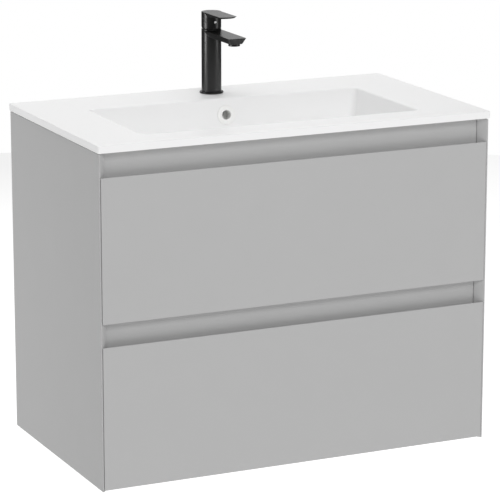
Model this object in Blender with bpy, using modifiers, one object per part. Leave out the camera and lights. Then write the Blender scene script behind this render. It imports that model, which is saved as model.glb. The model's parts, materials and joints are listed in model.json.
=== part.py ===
"""Wall-hung bathroom vanity: a two-drawer cabinet with a basin, a single-lever tap and a trap.

Frame: metres, +X right, +Y towards the wall, +Z up. The origin is the middle of the hanging
rail's back face, on the wall. The helpers below take "cabinet" places, measured from the middle
of the cabinet's rear bottom edge, and one empty carries them all down to the origin.
"""
import math

import bmesh
import bpy
from mathutils import Matrix, Vector

# ---------------------------------------------------------------- driving dimensions
CABINET_WIDTH = 0.795
CABINET_DEPTH = 0.457         # wall to the face of the drawer fronts
CABINET_HEIGHT = 0.631
BOARD = 0.016                 # side panels, rails and drawer fronts
FIT = 0.0003                  # left between pieces that touch
ARRIS = 0.0006                # broken edge of a lacquered board

PANEL_LIP = 0.0015            # flat left in front of a side panel's mitre
FRONT_LIP = 0.0008            # flat left round a drawer front before its mitre
MITRE_GAP = 0.0008            # between two mitred faces, square to them
FRONT_FLOOR = 0.0025          # lower front above the cabinet's underside
GRIP_HEIGHT = 0.0435          # each finger recess
GRIP_GAP = 0.0005             # a shut drawer front's back to the grip rail
GRIP_OVERLAP = 0.022          # grip rail behind the drawer front below it
GRIP_UNDERLAP = 0.006         # grip rail behind the drawer front above it

REAR_RAIL_HEIGHT = 0.100
HANGER_NOTCH = (0.032, 0.050)     # width and height cut from the upper rear rail's ends
HANGER_BODY = (0.024, 0.052, 0.056)
HOOK_THICKNESS = 0.003
HOOK_DROP = 0.014

BASIN_WIDTH = 0.800
BASIN_DEPTH = 0.460
BASIN_EDGE = 0.014
SEAL_HEIGHT = 0.002
SEAL_WIDTH = 0.010
SEAL_INSET = 0.0025
BOWL_WIDTH = 0.570
BOWL_LENGTH = 0.2665          # front to back at the rim
BOWL_BACK = 0.1245            # wall to the rim's rear edge
BOWL_DEPTH = 0.110
BOWL_SLOPE = math.radians(9.0)
BOWL_CORNER = 0.012
BOWL_FOOT = 0.0115
BOWL_WALL = 0.010
DRAIN_HOLE = 0.046
DRAIN_FORWARD = 0.250         # wall to the drain's axis

OVERFLOW_DROP = 0.0325        # basin top to the overflow's centre
OVERFLOW_HOLE = 0.024
OVERFLOW_BORE = 0.0185
OVERFLOW_RING = 0.038
ELBOW_CUP = (0.034, 0.018)    # diameter and depth of the cup behind the wall
ELBOW_DROP = 0.034
HOSE_DIAMETER = 0.016
HOSE_WALL = 0.0025
HOSE_SAG = 0.85               # share of the hose's drop that it makes before it turns
HOSE_RUN = 0.085              # straight pull of the hose out of the waste's port

TAP_FORWARD = 0.060           # wall to the tap's axis
TAP_HOLE = 0.035
TAP_DIAMETER = 0.0388
TAP_FOOT = (0.0466, 0.004)    # diameter and height
TAP_BODY_TOP = 0.1275         # above the basin
TAP_GROOVE = 0.0015
SPOUT_TOP = 0.125
SPOUT_REACH = 0.125
SPOUT_WIDTH = 0.0375
SPOUT_BELLY = 0.026
SPOUT_THICKNESS = 0.0118
SPOUT_NOSE = 0.0055
AERATOR = (0.0225, 0.0045)    # diameter and height
HANDLE_TOP = 0.1607
HANDLE_WALL = 0.003
HANDLE_PIVOT = 0.011          # above the handle's lower edge
HANDLE_LIFT = math.radians(22.0)
LEVER_REACH = 0.086
LEVER_ROOT = 0.009            # thickness at the handle
LEVER_TIP = 0.003
LEVER_WIDTH = 0.036
LEVER_BELLY = 0.028
LEVER_BOW = 0.006             # the tip's middle ahead of its corners
LEVER_CHAMFER = 0.004         # the tip's underside behind its top
DOT_LIFT = 0.002              # indicator's centre above the pivot
DOT = (0.0050, 0.0016)        # diameter and thickness
CARTRIDGE_DIAMETER = 0.0286
CARTRIDGE_DEPTH = 0.030
THROAT_DIAMETER = 0.017
SPINDLE_NECK = 0.009
SHANK_DIAMETER = 0.032
SHANK_LENGTH = 0.045
SHANK_WALL = 0.004
TAP_WASHER = (0.046, 0.003)   # diameter and thickness
TAP_NUT = (0.044, 0.009)      # across the flats, and height

WASTE_FLANGE = 0.062
WASTE_TUBE = 0.040
WASTE_BORE = 0.034
WASTE_LENGTH = 0.068          # flange seat to the tube's lower end
WASTE_PORT = 0.030            # drain axis to the side port's end
PORT_DROP = 0.042             # flange seat to the port's axis
FLANGE_LIP = 0.0022           # thickness of the flanges that show in the bowl
SPIDER = (0.003, 0.010, 0.014)    # bar width and height, and depth of its top in the bore
SPIDER_HUB = 0.015
PLUG_STEM = 0.008
PLUG_DOME = 0.0062
GASKET = (0.058, 0.003)       # diameter and thickness
WASTE_NUT = (0.060, 0.010)    # across the flats, and height
PLUG_DIAMETER = 0.056
TRAP_BOTTLE = 0.060
TRAP_WALL = 0.003
TRAP_HEIGHT = 0.062
TRAP_OUTLET = 0.052           # trap's axis to the outlet's mouth
TRAP_CUP = 0.022
NECK_NUT = (0.054, 0.030)
OUTLET_NUT = (0.044, 0.022)
PIPE_DIAMETER = 0.032
PIPE_WALL = 0.002
PIPE_DROP = 0.034             # trap neck's foot to the outlet's axis
NECK_DROP = 0.026             # waste tube's lower end to the trap neck's foot
ROSETTE = (0.074, 0.010)

RUNNER_SPACE = 0.0127         # side panel to drawer side
RUNNER_LENGTH = 0.400
RUNNER_REAR = 0.025           # wall to the runners' rear ends
RUNNER_HEIGHT = 0.045
RUNNER_STEEL = 0.0012
RUNNER_NEST = 0.0010          # play between one runner member and the next
DRAWER_SIDE = 0.013
DRAWER_REAR = 0.045           # wall to the drawer box's back
DRAWER_FLOOR = 0.012
BOX_TO_BOWL = 0.050           # upper box's top below the bowl's underside
BOX_TO_RAIL = 0.046           # lower box's top below the grip rail
UPPER_BOX_LIFT = 0.020        # box floor above its front's lower edge
LOWER_BOX_LIFT = 0.026
RUNNER_LIFT = 0.012           # runner's lower edge above the box's
TRAP_SLOT = 0.160             # width of the upper drawer's cut-out
TRAP_SLOT_AHEAD = 0.085       # trap's axis to the cut-out's front
GUARD_WALL = 0.008

# ---------------------------------------------------------------- sizes that follow
HALF_WIDTH = CABINET_WIDTH / 2
INSIDE = HALF_WIDTH - BOARD
FRONT_HEIGHT = (CABINET_HEIGHT - FRONT_FLOOR - 2 * GRIP_HEIGHT) / 2
LOWER_FRONT_TOP = FRONT_FLOOR + FRONT_HEIGHT
UPPER_FRONT_FOOT = LOWER_FRONT_TOP + GRIP_HEIGHT
UPPER_FRONT_TOP = UPPER_FRONT_FOOT + FRONT_HEIGHT
FRONT_BACK = -CABINET_DEPTH + BOARD
GRIP_FACE = FRONT_BACK + GRIP_GAP
HANG_HEIGHT = CABINET_HEIGHT - REAR_RAIL_HEIGHT / 2
BASIN_UNDER = CABINET_HEIGHT + SEAL_HEIGHT
BASIN_TOP = BASIN_UNDER + BASIN_EDGE
BOWL_FLOOR = BASIN_TOP - BOWL_DEPTH
BOWL_MIDDLE = -(BOWL_BACK + BOWL_LENGTH / 2)
WALL_TURN = (math.pi / 2 - BOWL_SLOPE, 0, 0)     # local +Z looks out of the bowl's rear wall
TAP_Y = -TAP_FORWARD
DRAIN_Y = -DRAIN_FORWARD
HANDLE_FOOT = BASIN_TOP + TAP_BODY_TOP + TAP_GROOVE
PIVOT_Z = HANDLE_FOOT + HANDLE_PIVOT
WASTE_FOOT = BOWL_FLOOR - WASTE_LENGTH
NECK_FOOT = WASTE_FOOT - NECK_DROP
PORT_Z = BOWL_FLOOR - PORT_DROP
OUTLET_Z = NECK_FOOT - PIPE_DROP
BOX_HALF = INSIDE - RUNNER_SPACE
UPPER_BOX_TOP = BOWL_FLOOR - BOWL_WALL - BOX_TO_BOWL
LOWER_RAIL_FOOT = LOWER_FRONT_TOP - GRIP_OVERLAP
LOWER_BOX_TOP = LOWER_RAIL_FOOT - BOX_TO_RAIL

# ---------------------------------------------------------------- finishes: colour, roughness, metallic
GREY_LACQUER = ((0.475, 0.475, 0.475), 0.42, 0.0)
WHITE_GELCOAT = ((0.90, 0.90, 0.90), 0.18, 0.0)
BLACK_METAL = ((0.020, 0.020, 0.021), 0.38, 0.6)
ZINC_STEEL = ((0.62, 0.63, 0.65), 0.35, 1.0)
CHROME = ((0.80, 0.80, 0.82), 0.10, 1.0)
DRAWER_STEEL = ((0.13, 0.13, 0.14), 0.45, 0.3)
DRAWER_BOARD = ((0.20, 0.20, 0.21), 0.60, 0.0)
WHITE_PLASTIC = ((0.82, 0.82, 0.81), 0.40, 0.0)
BLACK_RUBBER = ((0.03, 0.03, 0.03), 0.80, 0.0)
CLEAR_SILICONE = ((0.60, 0.60, 0.60), 0.50, 0.0)
BRASS = ((0.62, 0.47, 0.22), 0.35, 1.0)


# ---------------------------------------------------------------- helpers
def clear_scene():
    for obj in list(bpy.data.objects):
        bpy.data.objects.remove(obj, do_unlink=True)


def collection(name):
    made = bpy.data.collections.new(name)
    bpy.context.scene.collection.children.link(made)
    return made


def empty(name, at, parent=None):
    """A group's origin; at is in cabinet places."""
    obj = bpy.data.objects.new(name, None)
    PARTS.objects.link(obj)
    obj["at"] = at
    if parent is None:
        obj.location = at
    else:
        obj.parent = parent
        obj.location = Vector(at) - Vector(parent["at"])
    return obj


def hold(obj, at, parent, turn=(0, 0, 0)):
    obj.parent = parent
    obj.location = Vector(at) - Vector(parent["at"])
    obj.rotation_euler = turn


def paint(obj, finish):
    colour, roughness, metallic = finish
    material = bpy.data.materials.new(obj.name)
    material.use_nodes = True
    shader = material.node_tree.nodes["Principled BSDF"]
    shader.inputs["Base Color"].default_value = (*colour, 1)
    shader.inputs["Roughness"].default_value = roughness
    shader.inputs["Metallic"].default_value = metallic
    obj.data.materials.append(material)


def piece(name, data, finish, at=(0, 0, 0), parent=None, turn=(0, 0, 0)):
    """A named sub-part: its data, its own material and its place."""
    obj = bpy.data.objects.new(name, data)
    PARTS.objects.link(obj)
    hold(obj, at, parent or CABINET, turn)
    paint(obj, finish)
    return obj


def cutter(name, data, at=(0, 0, 0), parent=None, turn=(0, 0, 0)):
    obj = bpy.data.objects.new(name, data)
    CUTTERS.objects.link(obj)
    hold(obj, at, parent or CABINET, turn)
    obj.hide_render = True
    obj.display_type = "WIRE"
    return obj


def mesh_from(bm, name, smooth=None):
    bmesh.ops.recalc_face_normals(bm, faces=bm.faces)
    mesh = bpy.data.meshes.new(name)
    bm.to_mesh(mesh)
    bm.free()
    if smooth:
        mesh.shade_smooth()
        mesh.set_sharp_from_angle(angle=smooth)
    return mesh


def block_mesh(name, size):
    bm = bmesh.new()
    bmesh.ops.create_cube(bm, size=1.0)
    bmesh.ops.scale(bm, vec=size, verts=bm.verts)
    return mesh_from(bm, name)


def drum_mesh(name, diameter, height, sides=32, top=None):
    """A cylinder or cone standing on its origin."""
    bm = bmesh.new()
    bmesh.ops.create_cone(bm, cap_ends=True, segments=sides, radius1=diameter / 2,
                          radius2=(top or diameter) / 2, depth=height)
    bmesh.ops.translate(bm, vec=(0, 0, height / 2), verts=bm.verts)
    return mesh_from(bm, name, math.radians(40))


def profile_mesh(name, points):
    """The outline that a Screw turns: (radius, height) pairs, down the outside."""
    bm = bmesh.new()
    verts = [bm.verts.new((radius, 0, height)) for radius, height in points]
    for first, second in zip(verts, verts[1:] + verts[:1]):
        bm.edges.new((first, second))
    mesh = bpy.data.meshes.new(name)
    bm.to_mesh(mesh)
    bm.free()
    return mesh


def add_screw(obj, sides):
    screw = obj.modifiers.new("turn", "SCREW")
    screw.steps = screw.render_steps = sides
    screw.use_merge_vertices = True
    screw.merge_threshold = 0.00001


def turned(name, points, finish, at, parent=None, turn=(0, 0, 0), sides=32):
    obj = piece(name, profile_mesh(name, points), finish, at, parent, turn)
    add_screw(obj, sides)
    return obj


def tube_points(outer, inner, low, high):
    """A plain tube's profile: down the outside, up the bore."""
    return [(outer / 2, high), (outer / 2, low), (inner / 2, low), (inner / 2, high)]


def outline_curve(name, points, thickness):
    curve = bpy.data.curves.new(name, "CURVE")
    curve.dimensions = "2D"
    curve.fill_mode = "BOTH"
    curve.extrude = thickness / 2
    spline = curve.splines.new("POLY")
    spline.points.add(len(points) - 1)
    for point, (x, y) in zip(spline.points, points):
        point.co = (x, y, 0, 1)
    spline.use_cyclic_u = True
    return curve


def round_edges(obj, width, segments=1, angle=30):
    bevel = obj.modifiers.new("arris", "BEVEL")
    bevel.width = width
    bevel.segments = segments
    bevel.limit_method = "ANGLE"
    bevel.angle_limit = math.radians(angle)


def combine(obj, other, operation):
    boolean = obj.modifiers.new(operation.lower() + "_" + other.name, "BOOLEAN")
    boolean.operation = operation
    boolean.solver = "EXACT"
    boolean.object = other


def spans(x, y, z):
    """Size and middle of a box given by its low and high places."""
    size = (x[1] - x[0], y[1] - y[0], z[1] - z[0])
    middle = (sum(x) / 2, sum(y) / 2, sum(z) / 2)
    return size, middle


def board(name, x, y, z, finish=GREY_LACQUER, parent=None, arris=ARRIS):
    size, middle = spans(x, y, z)
    obj = piece(name, block_mesh(name, size), finish, middle, parent)
    if arris:
        round_edges(obj, arris)
    return obj


def block_cutter(name, x, y, z, parent=None):
    size, middle = spans(x, y, z)
    return cutter(name, block_mesh(name, size), middle, parent)


def nut(name, across, bore, height, sides, finish, at, turn=(0, 0, 0)):
    """A many-sided nut with a round bore, standing on its place."""
    obj = piece(name, drum_mesh(name, across, height, sides), finish, at, None, turn)
    lengthen = Matrix.Translation((0, 0, -height))
    hole = drum_mesh(name + "_bore", bore, 3 * height, 48)
    hole.transform(lengthen)
    combine(obj, cutter(name + "_bore", hole, at, None, turn), "DIFFERENCE")


def both_sides():
    return (("left", -1), ("right", 1))


def ordered(a, b):
    return (min(a, b), max(a, b))


# ---------------------------------------------------------------- cabinet
def side_panel(name, side):
    """A panel whose front edge is cut back at 45 degrees behind a thin lip."""
    mitre = BOARD - PANEL_LIP
    outline = [(0, 0), (0, -CABINET_DEPTH), (PANEL_LIP, -CABINET_DEPTH),
               (BOARD, -CABINET_DEPTH + mitre), (BOARD, 0)]
    points = [(side * (HALF_WIDTH - x), y) for x, y in outline]
    curve = outline_curve(name, points, CABINET_HEIGHT)
    piece(name, curve, GREY_LACQUER, (0, 0, CABINET_HEIGHT / 2))


def bottom_panel():
    board("bottom_panel", (-INSIDE + FIT, INSIDE - FIT), (FRONT_BACK + 0.002, 0), (0, BOARD))


def rear_rails():
    """The upper rail hangs on the wall; its ends are notched for the hooks."""
    x = (-INSIDE + FIT, INSIDE - FIT)
    upper = board("hanging_rail", x, (-BOARD, 0), (CABINET_HEIGHT - REAR_RAIL_HEIGHT, CABINET_HEIGHT))
    width, height = HANGER_NOTCH
    for word, side in both_sides():
        span = ordered(side * (INSIDE - width), side * (INSIDE + BOARD))
        notch = block_cutter("notch_" + word, span, (-2 * BOARD, BOARD),
                             (CABINET_HEIGHT - height, CABINET_HEIGHT + BOARD))
        combine(upper, notch, "DIFFERENCE")
    foot = BOARD + FIT
    board("lower_rear_rail", x, (-BOARD, 0), (foot, foot + REAR_RAIL_HEIGHT))


def grip_rail(name, low, high):
    """The board at the back of a finger recess."""
    board(name, (-INSIDE + FIT, INSIDE - FIT), (GRIP_FACE, GRIP_FACE + BOARD), (low, high))


def hanger(name, side):
    """A steel box on the side panel; its hook reaches back through the rail's notch."""
    width, length, height = HANGER_BODY
    outer = side * (INSIDE - FIT)
    inner = outer - side * width
    top = CABINET_HEIGHT - 0.006
    rear = -BOARD - FIT
    body = board(name, ordered(outer, inner), (rear - length, rear), (top - height, top), ZINC_STEEL)
    hook_x = ordered(outer - side * 0.004, inner + side * 0.004)
    tongue = block_cutter(name + "_tongue", hook_x, (rear - 0.004, -FIT - HOOK_THICKNESS),
                          (top - 0.012, top - 0.012 + HOOK_THICKNESS))
    tip = block_cutter(name + "_tip", hook_x, (-2 * HOOK_THICKNESS, -FIT),
                       (top - 0.012 - HOOK_DROP, top - 0.012 + HOOK_THICKNESS))
    combine(body, tongue, "UNION")
    combine(body, tip, "UNION")


# ---------------------------------------------------------------- basin
def tub_mesh(name, half_x, half_y, top, floor, corner, foot, slope=BOWL_SLOPE):
    """A sloping-sided box with rounded upright corners and a rounded foot."""
    bm = bmesh.new()
    bmesh.ops.create_cube(bm, size=2.0)
    inset = (top - floor) * math.tan(slope)
    for vert in bm.verts:
        draw = inset if vert.co.z < 0 else 0
        vert.co.x *= half_x - draw
        vert.co.y *= half_y - draw
        vert.co.z = floor if vert.co.z < 0 else top
    middle = (top + floor) / 2
    upright = [e for e in bm.edges if min(v.co.z for v in e.verts) < middle < max(v.co.z for v in e.verts)]
    bmesh.ops.bevel(bm, geom=upright, offset=corner, segments=7, profile=0.5, affect="EDGES")
    ring = [e for e in bm.edges if max(v.co.z for v in e.verts) < floor + 0.0001]
    bmesh.ops.bevel(bm, geom=ring, offset=foot, segments=5, profile=0.5, affect="EDGES")
    return mesh_from(bm, name, math.radians(30))


def wall_point(drop):
    """A place on the bowl's rear wall, so far below the basin's top."""
    return Vector((0, -BOWL_BACK - drop * math.tan(BOWL_SLOPE), BASIN_TOP - drop))


def basin():
    """A thin slab with a bowl hanging under it, cast in one piece."""
    size, middle = spans((-BASIN_WIDTH / 2, BASIN_WIDTH / 2), (-BASIN_DEPTH, 0), (BASIN_UNDER, BASIN_TOP))
    obj = piece("basin", block_mesh("basin", size), WHITE_GELCOAT, middle)
    half_x, half_y = BOWL_WIDTH / 2, BOWL_LENGTH / 2
    shell = cutter("bowl_outside", tub_mesh("bowl_outside", half_x + BOWL_WALL, half_y + BOWL_WALL,
                   BASIN_UNDER + BASIN_EDGE / 2, BOWL_FLOOR - BOWL_WALL, BOWL_CORNER, BOWL_FOOT),
                   (0, BOWL_MIDDLE, 0))
    lift = 0.002
    spread = lift * math.tan(BOWL_SLOPE)
    inside = cutter("bowl_inside", tub_mesh("bowl_inside", half_x + spread, half_y + spread,
                    BASIN_TOP + lift, BOWL_FLOOR, BOWL_CORNER, BOWL_FOOT), (0, BOWL_MIDDLE, 0))
    drain = cutter("drain_hole", drum_mesh("drain_hole", DRAIN_HOLE, 4 * BOWL_WALL),
                   (0, DRAIN_Y, BOWL_FLOOR - 2.5 * BOWL_WALL))
    tap_hole = cutter("tap_hole", drum_mesh("tap_hole", TAP_HOLE, 3 * BASIN_EDGE),
                      (0, TAP_Y, BASIN_UNDER - BASIN_EDGE))
    normal = Vector((0, -math.cos(BOWL_SLOPE), math.sin(BOWL_SLOPE)))
    overflow = cutter("overflow_hole", drum_mesh("overflow_hole", OVERFLOW_HOLE, 5 * BOWL_WALL),
                      wall_point(OVERFLOW_DROP) - 3 * BOWL_WALL * normal, None, WALL_TURN)
    combine(obj, shell, "UNION")
    for hole in (inside, drain, tap_hole, overflow):
        combine(obj, hole, "DIFFERENCE")
    round_edges(obj, 0.0012, 2, 60)


def basin_seal():
    """The bead of sealant that the basin rests on."""
    half = HALF_WIDTH - SEAL_INSET
    front, back = GRIP_FACE + SEAL_INSET, -SEAL_INSET
    low, high = CABINET_HEIGHT + FIT, BASIN_UNDER - FIT
    bead = board("basin_seal", (-half, half), (front, back), (low, high), CLEAR_SILICONE, None, 0)
    inner = half - SEAL_WIDTH
    middle = block_cutter("seal_middle", (-inner, inner), (front + SEAL_WIDTH, back - SEAL_WIDTH),
                          (low - BOARD, high + BOARD))
    combine(bead, middle, "DIFFERENCE")


def overflow():
    """A trim ring pressed in the bowl's wall, an elbow behind it and the hose to the waste."""
    at = wall_point(OVERFLOW_DROP)
    sleeve, bore, rim = OVERFLOW_HOLE / 2 - FIT, OVERFLOW_BORE / 2, OVERFLOW_RING / 2
    seat, lip = FIT, FLANGE_LIP
    turned("overflow_ring", [(bore, lip), (rim - 0.001, lip), (rim, lip - 0.001), (rim, seat),
           (sleeve, seat), (sleeve, -BOWL_WALL - 0.001), (bore, -BOWL_WALL - 0.001)],
           WHITE_PLASTIC, at, None, WALL_TURN)
    normal = Vector((0, -math.cos(BOWL_SLOPE), math.sin(BOWL_SLOPE)))
    cup, cup_length = ELBOW_CUP
    start = at - (BOWL_WALL + 0.0015 + cup_length) * normal
    elbow = piece("overflow_elbow", drum_mesh("overflow_elbow", cup, cup_length), WHITE_PLASTIC,
                  start, None, WALL_TURN)
    centre = start + 0.5 * cup_length * normal
    drop = ELBOW_DROP
    stub = cutter("elbow_stub", drum_mesh("elbow_stub", HOSE_DIAMETER, drop), centre - Vector((0, 0, drop)))
    mouth = cutter("elbow_mouth", drum_mesh("elbow_mouth", OVERFLOW_BORE + 0.008, cup_length),
                   start + 0.004 * normal, None, WALL_TURN)
    bore_cut = cutter("elbow_bore",
                      drum_mesh("elbow_bore", HOSE_DIAMETER - 2 * HOSE_WALL, drop + HOSE_WALL, 24),
                      centre - Vector((0, 0, drop + HOSE_WALL)))
    combine(elbow, stub, "UNION")
    combine(elbow, mouth, "DIFFERENCE")
    combine(elbow, bore_cut, "DIFFERENCE")
    overflow_hose(centre - Vector((0, 0, drop + FIT)))


def overflow_hose(top):
    """One smooth tube from the elbow's stub, under the bowl, to the waste's side port."""
    port = Vector((0, DRAIN_Y + WASTE_PORT, PORT_Z))
    drop = Vector((0, 0, top.z - port.z))
    shape = [top, top - HOSE_SAG * drop, port + Vector((0, HOSE_RUN, 0)), port]
    curve = bpy.data.curves.new("overflow_hose", "CURVE")
    curve.dimensions = "3D"
    curve.bevel_depth = HOSE_DIAMETER / 2
    curve.bevel_resolution = 3
    curve.use_fill_caps = True
    count = 16
    spline = curve.splines.new("POLY")
    spline.points.add(count - 1)
    for index, point in enumerate(spline.points):
        t = index / (count - 1)
        weights = ((1 - t) ** 3, 3 * t * (1 - t) ** 2, 3 * t * t * (1 - t), t ** 3)
        place = sum((w * p for w, p in zip(weights, shape)), Vector())
        point.co = (*place, 1)
    piece("overflow_hose", curve, WHITE_PLASTIC)


# ---------------------------------------------------------------- waste and trap
def waste():
    """A slotted-spider waste with a push plug, clamped through the bowl by a nut."""
    at = (0, DRAIN_Y, 0)
    seat, foot = BOWL_FLOOR + FIT, WASTE_FOOT
    rim, tube, bore = WASTE_FLANGE / 2, WASTE_TUBE / 2, WASTE_BORE / 2
    funnel = 0.004
    body = turned("waste_body", [(bore + funnel, seat + 0.8 * FLANGE_LIP), (rim - funnel, seat + FLANGE_LIP),
                  (rim, seat + FLANGE_LIP / 2), (rim, seat), (tube, seat), (tube, foot), (bore, foot),
                  (bore, seat - funnel)], CHROME, at)
    bar, bar_height, bar_depth = SPIDER
    spider_low, spider_high = seat - bar_depth - bar_height, seat - bar_depth
    for index in range(2):
        size = ((WASTE_BORE + WASTE_TUBE) / 2, bar, bar_height)
        arm = cutter(f"spider_{index}", block_mesh(f"spider_{index}", size),
                     (0, DRAIN_Y, (spider_low + spider_high) / 2), None, (0, 0, index * math.pi / 2))
        combine(body, arm, "UNION")
    hub = cutter("spider_hub", drum_mesh("spider_hub", SPIDER_HUB, bar_height), (0, DRAIN_Y, spider_low))
    hub_bore = cutter("spider_bore", drum_mesh("spider_bore", PLUG_STEM + 2 * FIT, 3 * bar_height),
                      (0, DRAIN_Y, spider_low - bar_height))
    wall = tube - bore
    port = cutter("waste_port", drum_mesh("waste_port", HOSE_DIAMETER, WASTE_PORT - bore - wall / 3),
                  (0, DRAIN_Y + WASTE_PORT - FIT, PORT_Z), None, (math.pi / 2, 0, 0))
    port_bore = cutter("port_bore", drum_mesh("port_bore", HOSE_DIAMETER - 2 * HOSE_WALL, WASTE_PORT),
                       (0, DRAIN_Y + WASTE_PORT + wall, PORT_Z), None, (math.pi / 2, 0, 0))
    combine(body, hub, "UNION")
    combine(body, port, "UNION")
    combine(body, hub_bore, "DIFFERENCE")
    combine(body, port_bore, "DIFFERENCE")
    cap = seat + FLANGE_LIP + FIT
    radius, stem = PLUG_DIAMETER / 2, PLUG_STEM / 2
    stem_foot = spider_low - stem
    dome = [(share * radius, cap + PLUG_DOME * (1 - 0.7 * share ** 2)) for share in (0, 0.4, 0.8, 1)]
    turned("waste_plug", dome + [(radius, cap), (stem, cap), (stem, stem_foot), (0, stem_foot)],
           CHROME, at, WASTE_AXIS)
    under = BOWL_FLOOR - BOWL_WALL - FIT
    clear = WASTE_TUBE + 2 * FIT
    gasket_wide, gasket_thick = GASKET
    turned("waste_gasket", tube_points(gasket_wide, clear, under - gasket_thick, under), BLACK_RUBBER, at)
    nut_wide, nut_high = WASTE_NUT
    nut("waste_nut", nut_wide, clear, nut_high, 6, BRASS, (0, DRAIN_Y, under - gasket_thick - FIT - nut_high))


def trap():
    """A bottle trap: neck nut, body with its side outlet, screw-off cup, pipe and wall plate."""
    at = (0, DRAIN_Y, 0)
    tube, bore = WASTE_TUBE / 2, WASTE_BORE / 2
    neck_top = WASTE_FOOT - FIT
    bottle, wall = TRAP_BOTTLE / 2, TRAP_WALL
    foot = NECK_FOOT - TRAP_HEIGHT
    shoulder = NECK_FOOT - 2 * wall
    body = turned("trap_body", [(bore, neck_top), (tube, neck_top), (tube, NECK_FOOT), (bottle, shoulder),
                  (bottle, foot), (bottle - wall, foot), (bottle - wall, shoulder - wall),
                  (bore, NECK_FOOT - wall)], WHITE_PLASTIC, at)
    outlet = TRAP_OUTLET
    spout = cutter("trap_spout", drum_mesh("trap_spout", PIPE_DIAMETER, outlet - bottle + 0.8 * wall),
                   (0, DRAIN_Y + outlet, OUTLET_Z), None, (math.pi / 2, 0, 0))
    spout_bore = cutter("trap_spout_bore",
                        drum_mesh("trap_spout_bore", PIPE_DIAMETER - 2 * PIPE_WALL, outlet),
                        (0, DRAIN_Y + outlet + wall, OUTLET_Z), None, (math.pi / 2, 0, 0))
    combine(body, spout, "UNION")
    combine(body, spout_bore, "DIFFERENCE")
    nut_wide, nut_high = NECK_NUT
    nut("trap_neck_nut", nut_wide, WASTE_TUBE + 2 * FIT, nut_high, 12, WHITE_PLASTIC,
        (0, DRAIN_Y, NECK_FOOT + 0.004))
    cup_top = foot - FIT
    knurl, bend, cup_foot = bottle + 0.002, cup_top - 0.65 * TRAP_CUP, cup_top - TRAP_CUP
    turned("trap_cup", [(bottle - wall, cup_top), (knurl, cup_top), (knurl, bend), (bottle - 0.004, cup_foot),
           (0, cup_foot), (0, cup_foot + wall), (bottle - 2 * wall, cup_foot + wall), (bottle - wall, bend)],
           WHITE_PLASTIC, at)
    mouth = DRAIN_Y + outlet + FIT
    along = (-math.pi / 2, 0, 0)
    length = -mouth - FIT
    turned("trap_pipe", tube_points(PIPE_DIAMETER, PIPE_DIAMETER - 2 * PIPE_WALL, 0, length),
           WHITE_PLASTIC, (0, mouth, OUTLET_Z), None, along)
    nut_wide, nut_high = OUTLET_NUT
    nut("trap_outlet_nut", nut_wide, PIPE_DIAMETER + 2 * FIT, nut_high, 12, WHITE_PLASTIC,
        (0, mouth - nut_high / 2, OUTLET_Z), along)
    wide, deep = ROSETTE
    bore = PIPE_DIAMETER / 2 + FIT
    turned("wall_rosette", [(bore, deep - FIT), (wide / 2, deep - FIT), (wide / 2, deep - 0.003),
           (bore + 0.008, 0), (bore, 0)], CHROME, (0, -deep, OUTLET_Z), None, along)


# ---------------------------------------------------------------- tap
def tap_foot():
    wide, high = TAP_FOOT
    outer, bore = wide / 2, SHANK_DIAMETER / 2 - SHANK_WALL
    low = BASIN_TOP + FIT
    turned("tap_foot", [(outer - high / 3, low + high - FIT), (outer, low + high / 2), (outer, low),
           (bore, low), (bore, low + high - FIT)], BLACK_METAL, (0, TAP_Y, 0), sides=48)


def spout_mesh():
    """A flat-topped spout, narrower below, whose nose slopes back."""
    bm = bmesh.new()
    bmesh.ops.create_cube(bm, size=2.0)
    top, under = BASIN_TOP + SPOUT_TOP, BASIN_TOP + SPOUT_TOP - SPOUT_THICKNESS
    for vert in bm.verts:
        upper, front = vert.co.z > 0, vert.co.y < 0
        vert.co.x *= (SPOUT_WIDTH if upper else SPOUT_BELLY) / 2
        vert.co.y = -SPOUT_REACH + (0 if upper else SPOUT_NOSE) if front else 0
        vert.co.z = top if upper else under
    return mesh_from(bm, "spout")


def tap_body():
    """A plain pillar with the spout growing out of it, bored for the cartridge."""
    at = (0, TAP_Y, 0)
    low = BASIN_TOP + TAP_FOOT[1] + FIT
    high = BASIN_TOP + TAP_BODY_TOP
    body = piece("tap_body", drum_mesh("tap_body", TAP_DIAMETER, high - low, 48), BLACK_METAL,
                 (0, TAP_Y, low))
    spout = cutter("spout", spout_mesh(), at)
    seat = cutter("cartridge_seat",
                  drum_mesh("cartridge_seat", CARTRIDGE_DIAMETER + 2 * FIT, 2 * CARTRIDGE_DEPTH),
                  (0, TAP_Y, high - CARTRIDGE_DEPTH))
    wide, deep = AERATOR
    mouth_y = TAP_Y - SPOUT_REACH + SPOUT_NOSE + wide / 2 + 0.0010
    under = BASIN_TOP + SPOUT_TOP - SPOUT_THICKNESS
    socket = cutter("aerator_socket", drum_mesh("aerator_socket", wide + 2 * FIT, 2 * deep),
                    (0, mouth_y, under - deep))
    combine(body, spout, "UNION")
    combine(body, seat, "DIFFERENCE")
    combine(body, socket, "DIFFERENCE")
    turned("tap_aerator", tube_points(wide, wide - deep, under - deep, under + deep - FIT), BLACK_METAL,
           (0, mouth_y, 0))


def cartridge():
    """A ceramic-disc cartridge in the body, and the spindle that turns in its throat."""
    at = (0, TAP_Y, 0)
    top = BASIN_TOP + TAP_BODY_TOP
    radius, throat, neck = CARTRIDGE_DIAMETER / 2, THROAT_DIAMETER / 2, SPINDLE_NECK / 2
    low = top - CARTRIDGE_DEPTH + FIT
    turned("tap_cartridge", [(throat, top - 0.001), (radius, top - 0.001), (radius, low), (throat, low)],
           WHITE_PLASTIC, at)
    foot, tip = low + neck, PIVOT_Z + neck
    turned("cartridge_spindle", [(0, tip), (neck, tip - 0.001), (neck, top), (throat - FIT, top - 0.003),
           (throat - FIT, foot), (0, foot)], BRASS, at, SWIVEL_AXIS, sides=24)


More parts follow.
